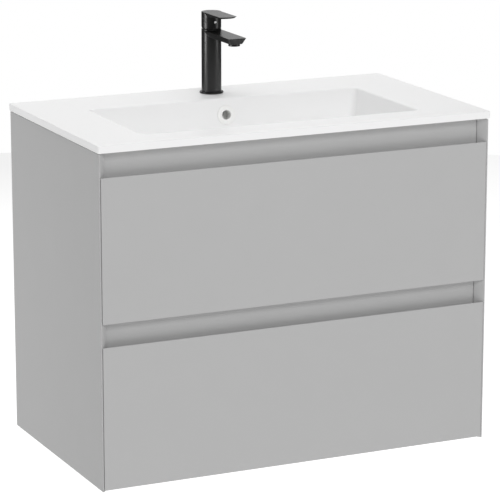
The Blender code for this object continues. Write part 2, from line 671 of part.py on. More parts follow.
def lever_mesh():
    """A flat lever: parallel sides, a bowed end and an underside that thins to the tip."""
    bm = bmesh.new()
    half_top, half_low = LEVER_WIDTH / 2, LEVER_BELLY / 2
    steps = 8
    arc = [-1 + 2 * i / steps for i in range(steps + 1)]
    top = BASIN_TOP + HANDLE_TOP

    def ring(half, low):
        tip = -LEVER_REACH + (LEVER_CHAMFER if low else 0)
        front = [(u * half, tip + LEVER_BOW * u * u) for u in arc]
        return front + [(half, 0), (-half, 0)]
    upper = [bm.verts.new((x, y, top)) for x, y in ring(half_top, False)]
    lower = []
    for x, y in ring(half_low, True):
        share = min(1, -y / LEVER_REACH)
        lower.append(bm.verts.new((x, y, top - LEVER_ROOT + (LEVER_ROOT - LEVER_TIP) * share)))
    bm.faces.new(upper)
    bm.faces.new(lower[::-1])
    count = len(upper)
    for i in range(count):
        j = (i + 1) % count
        bm.faces.new((upper[j], upper[i], lower[i], lower[j]))
    bmesh.ops.triangulate(bm, faces=bm.faces)
    return mesh_from(bm, "lever")


def handle():
    """A cap over the cartridge with its lever, cut away behind so that it can tip back."""
    top = BASIN_TOP + HANDLE_TOP
    cap = piece("tap_handle", drum_mesh("tap_handle", TAP_DIAMETER, top - HANDLE_FOOT, 48), BLACK_METAL,
                (0, TAP_Y, HANDLE_FOOT), LIFT_AXIS)
    lever = cutter("lever", lever_mesh(), (0, TAP_Y, 0), LIFT_AXIS)
    room = PIVOT_Z + 0.008 - HANDLE_FOOT
    hollow = cutter("handle_hollow", drum_mesh("handle_hollow", TAP_DIAMETER - 2 * HANDLE_WALL, 2 * room),
                    (0, TAP_Y, HANDLE_FOOT - room), LIFT_AXIS)
    deep = TAP_DIAMETER
    wedge_size = (2 * TAP_DIAMETER, deep, deep)
    wedge_bm = block_mesh("handle_wedge", wedge_size)
    wedge_bm.transform(Matrix.Translation((0, deep / 2, -deep / 2)))
    wedge = cutter("handle_wedge", wedge_bm, (0, TAP_Y, HANDLE_FOOT), LIFT_AXIS, (HANDLE_LIFT, 0, 0))
    combine(cap, lever, "UNION")
    combine(cap, hollow, "DIFFERENCE")
    combine(cap, wedge, "DIFFERENCE")
    face = -TAP_DIAMETER / 2
    wide, thick = DOT
    sunk = TAP_Y + face + thick - FIT
    dot = cutter("dot_seat", drum_mesh("dot_seat", wide + 2 * FIT, 3 * thick, 24),
                 (0, sunk + FIT, PIVOT_Z + DOT_LIFT), LIFT_AXIS, (math.pi / 2, 0, 0))
    combine(cap, dot, "DIFFERENCE")
    piece("tap_indicator", drum_mesh("tap_indicator", wide, thick, 24), CHROME,
          (0, sunk, PIVOT_Z + DOT_LIFT), LIFT_AXIS, (math.pi / 2, 0, 0))


def tap_fixing():
    """The threaded shank under the deck, with its clamp washer and nut."""
    at = (0, TAP_Y, 0)
    shank = SHANK_DIAMETER / 2
    high = BASIN_TOP - FIT
    bore = shank - SHANK_WALL
    low = high - SHANK_LENGTH
    turned("tap_shank", [(bore, high), (shank, high), (shank, low), (bore, low)], BRASS, at)
    under = BASIN_UNDER - FIT
    clear = SHANK_DIAMETER + 2 * FIT
    washer_wide, washer_thick = TAP_WASHER
    turned("tap_washer", tube_points(washer_wide, clear, under - washer_thick, under), BLACK_RUBBER, at)
    nut_wide, nut_high = TAP_NUT
    nut("tap_nut", nut_wide, clear, nut_high, 6, BRASS, (0, TAP_Y, under - washer_thick - FIT - nut_high))


# ---------------------------------------------------------------- drawers
def drawer_front(name, foot, parent):
    """A board whose sides and top are mitred back, leaving a thin lip at its face."""
    mitre = BOARD - FRONT_LIP
    half = HALF_WIDTH - PANEL_LIP - FRONT_LIP - MITRE_GAP * math.sqrt(2)
    bm = bmesh.new()
    bmesh.ops.create_cube(bm, size=1.0)
    bmesh.ops.scale(bm, vec=(2 * half, FRONT_LIP, FRONT_HEIGHT), verts=bm.verts)
    back = [f for f in bm.faces if f.normal.y > 0.5]
    grown = bmesh.ops.extrude_face_region(bm, geom=back)
    bmesh.ops.delete(bm, geom=back, context="FACES_ONLY")
    for vert in (v for v in grown["geom"] if isinstance(v, bmesh.types.BMVert)):
        vert.co.x -= math.copysign(mitre, vert.co.x)
        vert.co.y += mitre
        vert.co.z -= mitre if vert.co.z > 0 else 0
    at = (0, -CABINET_DEPTH + FRONT_LIP / 2, foot + FRONT_HEIGHT / 2)
    piece(name, mesh_from(bm, name), GREY_LACQUER, at, parent)


def channel(name, web, lip, half_height, z, finish, parent=None):
    """A folded steel channel along Y: web and lip are its two X places."""
    way = 1 if lip > web else -1
    steel = RUNNER_STEEL
    inside = web + way * steel
    points = [(web, -half_height), (lip, -half_height), (lip, -half_height + steel),
              (inside, -half_height + steel), (inside, half_height - steel),
              (lip, half_height - steel), (lip, half_height), (web, half_height)]
    curve = outline_curve(name, points, RUNNER_LENGTH)
    middle = -(RUNNER_REAR + RUNNER_LENGTH / 2)
    piece(name, curve, finish, (0, middle, z), parent, (math.pi / 2, 0, 0))


def runner(prefix, word, side, z, middle_parent, drawer_parent):
    """A full-extension runner: three nested channels on one side of a drawer."""
    half = RUNNER_HEIGHT / 2
    panel, box = INSIDE - FIT, BOX_HALF + FIT
    step = RUNNER_STEEL + RUNNER_NEST
    channel(f"{prefix}_cabinet_rail_{word}", side * panel, side * (box + 2 * RUNNER_NEST), half, z,
            ZINC_STEEL)
    channel(f"{prefix}_middle_rail_{word}", side * (panel - step), side * (box + step),
            half - step, z, ZINC_STEEL, middle_parent)
    channel(f"{prefix}_drawer_rail_{word}", side * box, side * (panel - 2 * step), half - 2 * step, z,
            ZINC_STEEL, drawer_parent)


def drawer(prefix, foot, lift, box_high, slotted):
    """Front, steel sides, board back and bottom, and a pair of runners."""
    box_low = foot + lift
    runner_z = box_low + RUNNER_LIFT + RUNNER_HEIGHT / 2
    slide = empty(prefix + "_drawer_slide", (0, FRONT_BACK, runner_z), CABINET)
    middle = empty(prefix + "_middle_slide", (0, FRONT_BACK, runner_z), CABINET)
    drawer_front(prefix + "_front", foot, slide)
    depth = (FRONT_BACK + FIT, -DRAWER_REAR)
    for word, side in both_sides():
        x = ordered(side * BOX_HALF, side * (BOX_HALF - DRAWER_SIDE))
        board(f"{prefix}_side_{word}", x, depth, (box_low, box_high), DRAWER_STEEL, slide, 0.0015)
        runner(prefix, word, side, runner_z, middle, slide)
    inner = BOX_HALF - DRAWER_SIDE - FIT
    floor_low = box_low + 0.002
    floor = board(prefix + "_bottom", (-inner, inner), depth, (floor_low, floor_low + DRAWER_FLOOR),
                  DRAWER_BOARD, slide)
    floor_top = floor_low + DRAWER_FLOOR + FIT
    back = (-DRAWER_REAR - DRAWER_FLOOR, -DRAWER_REAR)
    if slotted:
        cut_for_trap(prefix, floor, slide, inner, floor_top, back, box_high)
    else:
        board(prefix + "_back", (-inner, inner), back, (floor_top, box_high), DRAWER_BOARD, slide)


def cut_for_trap(prefix, floor, slide, inner, floor_top, back, box_high):
    """The floor's U-shaped cut-out, the guard round it and the two short backs."""
    half = TRAP_SLOT / 2
    slot_front = DRAIN_Y - TRAP_SLOT_AHEAD
    hole = block_cutter("trap_slot", (-half, half), (slot_front, BOARD),
                        (floor_top - BOARD, floor_top + BOARD), slide)
    combine(floor, hole, "DIFFERENCE")
    outer = half + GUARD_WALL
    front = slot_front - GUARD_WALL
    guard = board(prefix + "_trap_guard", (-outer, outer), (front, back[1]), (floor_top, box_high),
                  DRAWER_STEEL, slide, 0)
    gap = block_cutter("guard_gap", (-half, half), (slot_front, BOARD),
                       (floor_top - BOARD, box_high + BOARD), slide)
    combine(guard, gap, "DIFFERENCE")
    for word, side in both_sides():
        x = ordered(side * inner, side * (outer + FIT))
        board(f"{prefix}_back_{word}", x, back, (floor_top, box_high), DRAWER_BOARD, slide)


# ---------------------------------------------------------------- assembly
clear_scene()
PARTS = collection("vanity")
CUTTERS = collection("cutters")
CABINET = empty("hanging_line", (0, 0, 0))
CABINET.location = (0, 0, -HANG_HEIGHT)
WASTE_AXIS = empty("waste_axis", (0, DRAIN_Y, BOWL_FLOOR), CABINET)
SWIVEL_AXIS = empty("tap_swivel_axis", (0, TAP_Y, HANDLE_FOOT), CABINET)
LIFT_AXIS = empty("tap_lift_axis", (0, TAP_Y, PIVOT_Z), SWIVEL_AXIS)

for panel_side, sign in both_sides():
    side_panel("side_panel_" + panel_side, sign)
    hanger("hanger_" + panel_side, sign)
bottom_panel()
rear_rails()
grip_rail("upper_grip_rail", UPPER_FRONT_TOP - GRIP_OVERLAP, CABINET_HEIGHT)
grip_rail("lower_grip_rail", LOWER_RAIL_FOOT, UPPER_FRONT_FOOT + GRIP_UNDERLAP)
basin()
basin_seal()
overflow()
waste()
trap()
tap_foot()
tap_body()
cartridge()
handle()
tap_fixing()
drawer("upper", UPPER_FRONT_FOOT, UPPER_BOX_LIFT, UPPER_BOX_TOP, True)
drawer("lower", FRONT_FLOOR, LOWER_BOX_LIFT, LOWER_BOX_TOP, False)
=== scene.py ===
# %% [markdown]
# # A wall-hung vanity with two drawers
# This lesson dresses a working model of a bathroom vanity. The model already has every board,
# runner and pipe at its real size and place. Here each piece that shows is shaped again the way
# its maker leaves it, with rounded arrises and a real finish, and the whole is lit softly, as for
# a catalogue.

# %% Load the working model
import json
import math
import bmesh
import bpy
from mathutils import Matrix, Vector

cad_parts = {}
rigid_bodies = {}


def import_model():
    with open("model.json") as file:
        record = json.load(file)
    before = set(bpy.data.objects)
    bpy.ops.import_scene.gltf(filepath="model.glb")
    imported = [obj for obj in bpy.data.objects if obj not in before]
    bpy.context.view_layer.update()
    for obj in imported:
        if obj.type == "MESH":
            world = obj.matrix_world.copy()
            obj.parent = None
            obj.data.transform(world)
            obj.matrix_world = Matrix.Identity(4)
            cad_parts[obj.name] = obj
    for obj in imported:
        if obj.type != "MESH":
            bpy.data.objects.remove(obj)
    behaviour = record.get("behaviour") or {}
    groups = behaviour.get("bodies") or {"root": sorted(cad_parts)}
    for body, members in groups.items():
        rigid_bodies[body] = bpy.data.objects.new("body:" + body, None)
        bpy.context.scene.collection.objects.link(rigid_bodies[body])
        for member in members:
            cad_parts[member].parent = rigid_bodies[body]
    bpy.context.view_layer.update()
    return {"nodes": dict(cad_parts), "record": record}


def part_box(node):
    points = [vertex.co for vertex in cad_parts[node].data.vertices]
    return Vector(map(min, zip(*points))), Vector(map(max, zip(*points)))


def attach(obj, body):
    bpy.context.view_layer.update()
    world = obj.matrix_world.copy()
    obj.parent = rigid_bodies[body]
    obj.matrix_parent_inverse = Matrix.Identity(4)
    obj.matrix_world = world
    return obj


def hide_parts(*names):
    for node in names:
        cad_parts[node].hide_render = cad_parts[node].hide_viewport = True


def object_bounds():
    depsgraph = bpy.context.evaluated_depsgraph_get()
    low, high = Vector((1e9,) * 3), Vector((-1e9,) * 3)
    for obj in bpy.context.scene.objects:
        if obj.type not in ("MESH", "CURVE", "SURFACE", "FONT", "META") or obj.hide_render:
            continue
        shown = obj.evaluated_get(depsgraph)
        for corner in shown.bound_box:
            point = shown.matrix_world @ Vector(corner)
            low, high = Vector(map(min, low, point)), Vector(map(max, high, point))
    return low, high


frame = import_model()

# %% [markdown]
# ## Working by hand, in code
# Operators act on whatever is selected. So each step starts from nothing selected and then picks
# faces, edges or points by their place. Lengths are in metres, and `MM` keeps the sizes readable.
# A piece that is done leaves its object at the origin with its place in its mesh, so that a
# pattern on object coordinates sits still.

# %% Helpers: selecting and placing
MM = 0.001
TOUCH = 0.02 * MM             # closer than this counts as the same place


def select_only(*objects):
    if bpy.context.mode != "OBJECT":
        bpy.ops.object.mode_set(mode="OBJECT")
    bpy.ops.object.select_all(action="DESELECT")
    for obj in objects:
        obj.select_set(True)
    bpy.context.view_layer.objects.active = objects[0]


def settle(obj):
    select_only(obj)
    bpy.ops.object.transform_apply(location=True, rotation=True, scale=True)
    return obj


def block(name, low, high):
    """A cube stretched between two corners."""
    low, high = Vector(low), Vector(high)
    low, high = [Vector(map(pick_end, low, high)) for pick_end in (min, max)]
    bpy.ops.object.select_all(action="DESELECT")
    bpy.ops.mesh.primitive_cube_add(size=1, location=(low + high) / 2)
    obj = bpy.context.object
    obj.scale, obj.name = high - low, name
    return settle(obj)


def pick(obj, kind, test):
    """Opens obj in edit mode with only the points, edges or faces that pass the test selected."""
    select_only(obj)
    bpy.ops.object.mode_set(mode="EDIT")
    bpy.ops.mesh.select_mode(type=kind)
    bpy.ops.mesh.select_all(action="DESELECT")
    shape = bmesh.from_edit_mesh(obj.data)
    chosen = [item for item in {"VERT": shape.verts, "EDGE": shape.edges, "FACE": shape.faces}[kind]
              if test(item)]
    for item in chosen:
        item.select_set(True)
    shape.select_flush_mode()
    bmesh.update_edit_mesh(obj.data)
    return len(chosen)


def middle(item):
    """The middle of an edge or a face."""
    points = [vert.co for vert in item.verts]
    return sum(points, Vector()) / len(points)


def runs(edge, axis):
    """Whether an edge runs along axis 0, 1 or 2."""
    return abs((edge.verts[0].co - edge.verts[1].co).normalized()[axis]) > 0.999


def near(value, target):
    return abs(value - target) < TOUCH


# %% [markdown]
# ## Turning on a lathe
# Taps, wastes and pipes are turned. A circle is extruded ring by ring, each ring with its radius
# and its height, and the ends are closed. A hollow part's last ring is bridged to its first, so
# the wall has a real inside.

# %% Helpers: turning, cutting and rounding
def aim(obj, at, facing):
    """Turns a piece made upright at the origin to face another way, and carries it to its place."""
    obj.rotation_mode = "QUATERNION"
    obj.rotation_quaternion = Vector((0, 0, 1)).rotation_difference(Vector(facing))
    obj.location = at
    return settle(obj)


def turned(name, rings, at=(0, 0, 0), facing=(0, 0, 1), sides=96, hollow=False):
    """A turned piece from (radius, height) rings; facing is where its height points."""
    bpy.ops.object.select_all(action="DESELECT")
    radius, height = rings[0]
    bpy.ops.mesh.primitive_circle_add(vertices=sides, radius=radius, location=(0, 0, height))
    obj = bpy.context.object
    obj.name = name
    settle(obj)
    pick(obj, "EDGE", lambda edge: True)
    for next_radius, next_height in rings[1:]:
        bpy.ops.mesh.extrude_region_move(TRANSFORM_OT_translate={"value": (0, 0, next_height - height)})
        grow = next_radius / radius
        bpy.ops.transform.resize(value=(grow, grow, 1), center_override=(0, 0, next_height))
        radius, height = next_radius, next_height
    if hollow:
        pick(obj, "EDGE", lambda edge: edge.is_boundary)
        bpy.ops.mesh.bridge_edge_loops()
    bpy.ops.mesh.select_all(action="SELECT")
    bpy.ops.mesh.fill_holes(sides=0)
    bpy.ops.mesh.normals_make_consistent(inside=False)
    return aim(obj, at, facing)


def apply_modifiers(obj):
    select_only(obj)
    for modifier in list(obj.modifiers):
        bpy.ops.object.modifier_apply(modifier=modifier.name)


def join_shapes(obj, tool, operation="DIFFERENCE"):
    """A Boolean that is applied at once; the tool is thrown away."""
    boolean = obj.modifiers.new("shape", "BOOLEAN")
    boolean.operation, boolean.solver, boolean.object = operation, "EXACT", tool
    apply_modifiers(obj)
    bpy.data.objects.remove(tool, do_unlink=True)
    return obj


def bevel_edges(obj, test, width, segments=3):
    """Bevels the edges that pass the test."""
    count = pick(obj, "EDGE", test)
    bpy.ops.mesh.bevel(offset=width, segments=segments, affect="EDGES", clamp_overlap=True)
    bpy.ops.object.mode_set(mode="OBJECT")
    return count


def soften(obj, width, segments=3, angle=30):
    """Rounds every edge sharper than angle, then shades it so that the flats stay flat."""
    if width:
        rounding = obj.modifiers.new("arris", "BEVEL")
        rounding.width, rounding.segments = width, segments
        rounding.limit_method, rounding.angle_limit = "ANGLE", math.radians(angle)
        apply_modifiers(obj)
    select_only(obj)
    bpy.ops.object.shade_smooth_by_angle(angle=math.radians(40))
    flats = obj.modifiers.new("flats", "WEIGHTED_NORMAL")
    flats.keep_sharp = True
    apply_modifiers(obj)
    return obj


def dress(obj, body, slot, finish, *stands_for):
    """Gives a piece its finish, the body it moves with and the CAD nodes it stands for."""
    obj.data.materials.clear()
    obj.data.materials.append(finish)
    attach(obj, body)
    if stands_for:
        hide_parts(*stands_for)
    return obj


# %% [markdown]
# ## The view
# The picture is taken with a long lens from the left and a little above, so upright edges stay
# almost parallel. The camera is placed by its heading and tilt.

# %% Camera
HEADING, TILT = math.radians(24.908), math.radians(13.675)
LENS = 196.49                 # on a 36 mm sensor

view = bpy.data.cameras.new("view")
camera = bpy.data.objects.new("view", view)
bpy.context.scene.collection.objects.link(camera)
camera.location = (-2.1550, -4.8802, 1.0324)
camera.rotation_euler = (math.pi / 2 - TILT, 0, -HEADING)
view.sensor_width, view.lens = 36, LENS
view.clip_start, view.clip_end = 0.05, 60
bpy.context.scene.camera = camera
print("lens", view.lens, "mm at", [round(value, 3) for value in camera.location])

# %% [markdown]
# ## The studio
# Catalogue pictures of white and grey goods are taken in a bright room with a white sweep, so the
# light comes from everywhere and the shadows are faint. A pale sky gives that. Black goods need
# the opposite: they only read if most of what they mirror is dark. So the sky is dim to
# mirror-like rays, and so is the paper floor. Two low strip lights draw the streaks on the tap,
# and flags keep them off the cabinet: here, each strip is linked to the tap alone.

# %% Colour
def colour(code):
    """Turns an sRGB hex code into the linear values that shaders add up."""
    channels = [int(code[i:i + 2], 16) / 255 for i in (1, 3, 5)]
    linear = [c / 12.92 if c <= 0.04045 else ((c + 0.055) / 1.055) ** 2.4 for c in channels]
    return (*linear, 1.0)


def node(tree, kind, inputs=None, **settings):
    """Adds a node with its settings; an input is a value, or another node's output to link."""
    made = tree.nodes.new(kind)
    for name, value in settings.items():
        setattr(made, name, value)
    for name, value in (inputs or {}).items():
        if isinstance(value, bpy.types.NodeSocket):
            tree.links.new(value, made.inputs[name])
        else:
            made.inputs[name].default_value = value
    return made


# %% Sky, floor and softboxes
SKY_LIGHT = 0.47              # what lights the object
SKY_MIRRORED = 0.10           # what glossy surfaces mirror
FLOOR_DROP = 0.50
FLOOR_RADIUS = 5.0
FLOOR_GLOW = 0.40             # a light table: the sweep is lit a little from below

scene = bpy.context.scene
scene.view_settings.view_transform = "Standard"
scene.view_settings.look = "None"
scene.world = bpy.data.worlds.new("white_sweep")
scene.world.use_nodes = True
sky = scene.world.node_tree
ray = node(sky, "ShaderNodeLightPath").outputs
lit = node(sky, "ShaderNodeMix", {"Factor": ray["Is Glossy Ray"], "A": SKY_LIGHT, "B": SKY_MIRRORED})
seen = node(sky, "ShaderNodeMix", {"Factor": ray["Is Camera Ray"], "A": lit.outputs["Result"], "B": 1.0})
sky.links.new(seen.outputs["Result"], sky.nodes["Background"].inputs["Strength"])
sky.nodes["Background"].inputs["Color"].default_value = colour("#FFFFFF")

bpy.ops.object.select_all(action="DESELECT")
bpy.ops.mesh.primitive_circle_add(vertices=96, radius=FLOOR_RADIUS, fill_type="NGON",
                                  location=(0, 0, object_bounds()[0].z - FLOOR_DROP))
floor = bpy.context.object
floor.name = "studio_floor"
paper = bpy.data.materials.new("white_paper")
paper.use_nodes = True
paper_tree = paper.node_tree
fibres = node(paper_tree, "ShaderNodeTexNoise",
              {"Vector": node(paper_tree, "ShaderNodeTexCoord").outputs["Object"], "Scale": 40.0})
tint = node(paper_tree, "ShaderNodeMix", {"Factor": fibres.outputs["Fac"]}, data_type="RGBA")
tint.inputs[6].default_value, tint.inputs[7].default_value = colour("#F8F8F8"), colour("#FAFAFA")
mirrored = node(paper_tree, "ShaderNodeLightPath").outputs["Is Glossy Ray"]
# Painted dark reflection: in mirror-like rays only, the paper is painted dark grey and hardly glows, so the
# black tap's sides mirror a dark floor.
painted_dark_reflection = node(paper_tree, "ShaderNodeMix", data_type="RGBA")
paper_tree.links.new(mirrored, painted_dark_reflection.inputs[0])
paper_tree.links.new(tint.outputs[2], painted_dark_reflection.inputs[6])
painted_dark_reflection.inputs[7].default_value = colour("#3C3C3C")
paper_tree.links.new(painted_dark_reflection.outputs[2], paper_tree.nodes["Principled BSDF"].inputs["Base Color"])
glow = node(paper_tree, "ShaderNodeMix", {"Factor": mirrored, "A": FLOOR_GLOW, "B": 0.02})
paper_tree.links.new(glow.outputs["Result"], paper_tree.nodes["Principled BSDF"].inputs["Emission Strength"])
paper_tree.nodes["Principled BSDF"].inputs["Roughness"].default_value = 0.9
paper_tree.nodes["Principled BSDF"].inputs["Specular IOR Level"].default_value = 0.1
paper_tree.nodes["Principled BSDF"].inputs["Emission Color"].default_value = colour("#FFFFFF")
floor.data.materials.append(paper)


def softbox(name, at, aim_at, width, height, power):
    data = bpy.data.lights.new(name, "AREA")
    data.shape, data.size, data.size_y, data.energy = "RECTANGLE", width, height, power
    lamp = bpy.data.objects.new(name, data)
    bpy.context.scene.collection.objects.link(lamp)
    lamp.location = at
    lamp.rotation_euler = (Vector(aim_at) - Vector(at)).to_track_quat("-Z", "Y").to_euler()
    lamp.visible_camera = False
    return lamp


softbox("overhead", (0, -0.3, 3.4), (0, -0.25, 0), 4.0, 4.0, 23)
softbox("front_high", (0, -3.5, 2.2), (0, -0.3, -0.1), 2.0, 1.2, 44)
softbox("rear_strip", (0, 1.4, 2.2), (0, -0.3, 0), 3.0, 0.8, 20)
softbox("backdrop", (0, 4.0, 1.2), (0, -0.2, 0.1), 6.0, 1.6, 27)
softbox("left_fill", (-1.55, 0.45, -0.27), (0, -0.06, 0.0), 0.3, 0.55, 2.6)
left_strip = softbox("left_strip", (-1.60, 0.00, -0.27), (0, -0.06, 0.13), 0.30, 0.55, 9)
right_strip = softbox("right_strip", (1.13, -1.22, -0.27), (0, -0.06, 0.13), 0.40, 0.55, 4.5)

# %% [markdown]
# ## Finishes
# Each finish starts from its real material, and its pattern from a size in millimetres. The
# helpers below read the piece's own coordinates, add noise of a given size, and turn a height into
# a bump, so each finish is only a few lines.

# %% Helpers for finishes
def new_finish(name, **sockets):
    """A material with its shader's sockets set, and the object coordinates to hang patterns on."""
    finish = bpy.data.materials.new(name)
    finish.use_nodes = True
    tree = finish.node_tree
    shader = tree.nodes["Principled BSDF"]
    for socket, value in sockets.items():
        shader.inputs[socket.replace("_", " ")].default_value = value
    place = node(tree, "ShaderNodeTexCoord").outputs["Object"]
    return finish, tree, shader, place


def mottle(tree, place, size, detail=2.0, stretch=(1, 1, 1)):
    """Noise with features about size mm across, drawn out along the axes where stretch is small."""
    turned_place = node(tree, "ShaderNodeMapping", {"Vector": place, "Scale": stretch}).outputs["Vector"]
    return node(tree, "ShaderNodeTexNoise",
                {"Vector": turned_place, "Scale": 1 / (size * MM), "Detail": detail}).outputs["Fac"]


def spread(tree, factor, low, high):
    """Spreads a noise, whose values crowd round a half, between two numbers."""
    return node(tree, "ShaderNodeMapRange", {"Value": factor, "From Min": 0.3, "From Max": 0.7,
                                             "To Min": low, "To Max": high}).outputs["Result"]


def paint(tree, shader, tone_map, tones, sheen_map, sheen, height_map, depth):
    """Two tones, a range of roughness and bumps of a depth in mm, each driven by its own map."""
    if tone_map is None:
        shader.inputs["Base Color"].default_value = colour(tones[0])
    else:
        mix = node(tree, "ShaderNodeMix", data_type="RGBA")
        tree.links.new(tone_map, mix.inputs[0])
        mix.inputs[6].default_value, mix.inputs[7].default_value = map(colour, tones)
        tree.links.new(mix.outputs[2], shader.inputs["Base Color"])
    tree.links.new(spread(tree, sheen_map, *sheen), shader.inputs["Roughness"])
    bump = node(tree, "ShaderNodeBump", {"Height": height_map, "Distance": depth * MM, "Strength": 1.0})
    tree.links.new(bump.outputs["Normal"], shader.inputs["Normal"])


def speckled(name, tones, tone_grain, sheen, sheen_grain, depth, height_grain=None, **sockets):
    """A finish from noises alone; a grain is (size in mm, detail, stretch)."""
    finish, tree, shader, place = new_finish(name, **sockets)
    tone_map = mottle(tree, place, *tone_grain) if tone_grain else None
    sheen_map = mottle(tree, place, *sheen_grain)
    height_map = mottle(tree, place, *height_grain) if height_grain else sheen_map
    paint(tree, shader, tone_map, tones, sheen_map, sheen, height_map, depth)
    return finish


# %% [markdown]
# ### Matt lacquer on fibreboard
# The fronts and sides are fibreboard sprayed with matt polyurethane lacquer. Spray leaves an
# orange peel of waves 2 to 4 mm across and a few thousandths of a millimetre deep, with a very
# fine matting grain on it. It gives the eye a soft, even grey that never mirrors. The hidden boards
# are melamine: pressed paper in resin, with shallow pores along the board and a drier sheen.

# %% Lacquer and board
lacquer = speckled("matt_lacquer", ("#B8B8B8", "#BABABA"), (60,), (0.50, 0.60), (0.5,), 0.02, (3, 1.0),
                   Specular_IOR_Level=0.35)
PORES = (0.6, 3.0, (0.15, 1, 1))
melamine = speckled("melamine_board", ("#A9A9A9", "#B3B3B3"), PORES, (0.48, 0.62), PORES, 0.03,
                    Specular_IOR_Level=0.4)
print("boards wear", lacquer.name, "and", melamine.name)

# %% [markdown]
# ### Cast basin
# The basin is mineral casting under a satin white gel coat. Gel coat is clear for the first few
# tenths, so a little light is mirrored above the white: that is a thin coat layer over the base.
# The mould leaves very long, very shallow waves. It gives the eye a clean white with no glare.

# %% Gel coat
gel_coat = speckled("gel_coat", ("#F7F7F7", "#F8F8F8"), (90,), (0.45, 0.50), (60, 0.0), 0.015, (45, 0.0),
                    Coat_Weight=0.1, Coat_Roughness=0.3, Coat_IOR=1.5)
print("the basin wears", gel_coat.name)

# %% [markdown]
# ### Black coating
# The tap is brass with a matt black electro-coated finish. Its pigment makes a fine, even grain,
# which breaks a highlight into a broad satin streak.

# %% Black coating
black_coat = speckled("black_satin_coat", ("#101010", "#151515"), (6,), (0.27, 0.35), (0.35,), 0.012,
                      Specular_IOR_Level=0.5)
print("the tap wears", black_coat.name)

# %% [markdown]
# ### Metals
# Chrome is plated on polished brass, so it mirrors with only hairline wiping marks. The tap's dot
# is chrome over a blasted face, which scatters light and looks pale from every side. Zinc-plated
# strip steel shows the rolling direction along its length and cloudy patches from the bath.
# Turned brass keeps the lathe's rings.

# %% Chrome, zinc and brass
satin = speckled("satin_chrome", ("#EDEDED",), None, (0.42, 0.52), (0.3,), 0.01, (0.5, 0.0), Metallic=1.0)
chrome = speckled("polished_chrome", ("#DADBDD",), None, (0.05, 0.11), (1.2, 4.0, (1, 0.2, 1)), 0.02,
                  (14, 0.0), Metallic=1.0)
zinc = speckled("zinc_plated_steel", ("#B9BDC2", "#CFCFCB"), (18, 3.0), (0.26, 0.42),
                (0.5, 3.0, (1, 0.03, 1)), 0.02, Metallic=1.0)
brass = speckled("turned_brass", ("#C29A50", "#D0AE69"), (8,), (0.22, 0.38), (0.4, 2.0, (0.02, 0.02, 1)),
                 0.03, Metallic=1.0)
print("metals:", [metal.name for metal in (satin, chrome, zinc, brass)])

# %% [markdown]
# ### Powder coat, textured board and plastics
# Drawer sides are steel with a dark grey powder coat, which flows into a fine peel. The boards in
# the drawers have a linen emboss that hides scratches. The trap and the overflow are white
# polypropylene, whose mould was spark-eroded to a fine, dull grain. Seals are dull black rubber,
# and the bead under the basin is silicone, which glows a little at its edges.

# %% Powder coat, linen board, plastic, rubber and silicone
powder = speckled("powder_coat", ("#616266", "#66676A"), (30,), (0.36, 0.50), (1.1, 1.0), 0.05,
                  Specular_IOR_Level=0.5)

linen, tree, shader, place = new_finish("linen_board", Specular_IOR_Level=0.4)
# Threads lie 0.9 mm apart both ways; each is a streaky noise drawn out along its own length.
warp = mottle(tree, place, 0.9, 1.0, (1, 0.06, 0.06))
weft = mottle(tree, place, 0.9, 1.0, (0.06, 1, 1))
weave = node(tree, "ShaderNodeMath", {0: warp, 1: weft}, operation="ADD").outputs[0]
half_weave = node(tree, "ShaderNodeMath", {0: weave, 1: 0.5}, operation="MULTIPLY").outputs[0]
paint(tree, shader, spread(tree, half_weave, 0, 1), ("#6C6D70", "#808184"), half_weave, (0.52, 0.68),
      half_weave, 0.06)

GRAIN, RIPPLE = (0.6, 3.0), (7, 1.0)
plastic = speckled("white_polypropylene", ("#F8F8F6", "#FAFAF9"), (20,), (0.32, 0.44), (0.4,), 0.012,
                   Specular_IOR_Level=0.5)
rubber = speckled("nitrile_rubber", ("#202020", "#2A2A2A"), GRAIN, (0.62, 0.78), GRAIN, 0.03,
                  Specular_IOR_Level=0.35)
silicone = speckled("silicone_bead", ("#C5C5C5", "#CDCDCD"), RIPPLE, (0.24, 0.34), RIPPLE, 0.10,
                    Specular_IOR_Level=0.5, Subsurface_Weight=0.2, Subsurface_Radius=(2 * MM, 2 * MM, 2 * MM))
print("and", [other.name for other in (powder, linen, plastic, rubber, silicone)])

# %% The finish of each slot, and what the working model's own pieces wear
FINISH = {"grey_lacquer": lacquer, "carcass_board": melamine, "basin_glaze": gel_coat, "sealant": silicone,
          "white_plastic": plastic, "chrome": chrome, "rubber": rubber, "brass": brass,
          "black_tap": black_coat, "runner_steel": zinc, "drawer_steel": powder, "drawer_board": linen}
SLOT = {part["node"]: part["material_slot"] for part in frame["record"]["subparts"]}

for name, obj in frame["nodes"].items():
    obj.data.materials.clear()
    obj.data.materials.append(FINISH[SLOT[name]])
print(len(frame["nodes"]), "nodes in", len(FINISH), "finishes")


# %% [markdown]
# ## The carcass
# ### Side panels
# Each side is a lacquered panel 16 mm thick. Its front edge is cut back at 45 degrees on the
# inside, so that the drawer fronts, cut the same way, meet it as a mitred box with a fine shadow
# gap. The mitre is one wide bevel on one edge. Then every edge is sanded to a tiny round arris,
# which is where lacquer catches the light.

# %% Side panels
BOARD = 16 * MM
ARRIS = 0.7 * MM
PANEL_LIP = 1.5 * MM          # flat left in front of the mitre


def side_panel(name):
    low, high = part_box(name)
    inner = high.x if low.x < 0 else low.x
    obj = block(name, low, high)
    bevel_edges(obj, lambda edge: runs(edge, 2) and near(middle(edge).x, inner)
                and near(middle(edge).y, low.y), BOARD - PANEL_LIP, 1)
    soften(obj, ARRIS)
    obj.name = name.replace("side_panel", "lacquered_side")
    return dress(obj, "cabinet", "grey_lacquer", lacquer, name)


for name in ("side_panel_left", "side_panel_right"):
    panel = side_panel(name)
    print(panel.name, len(panel.data.polygons), "faces")

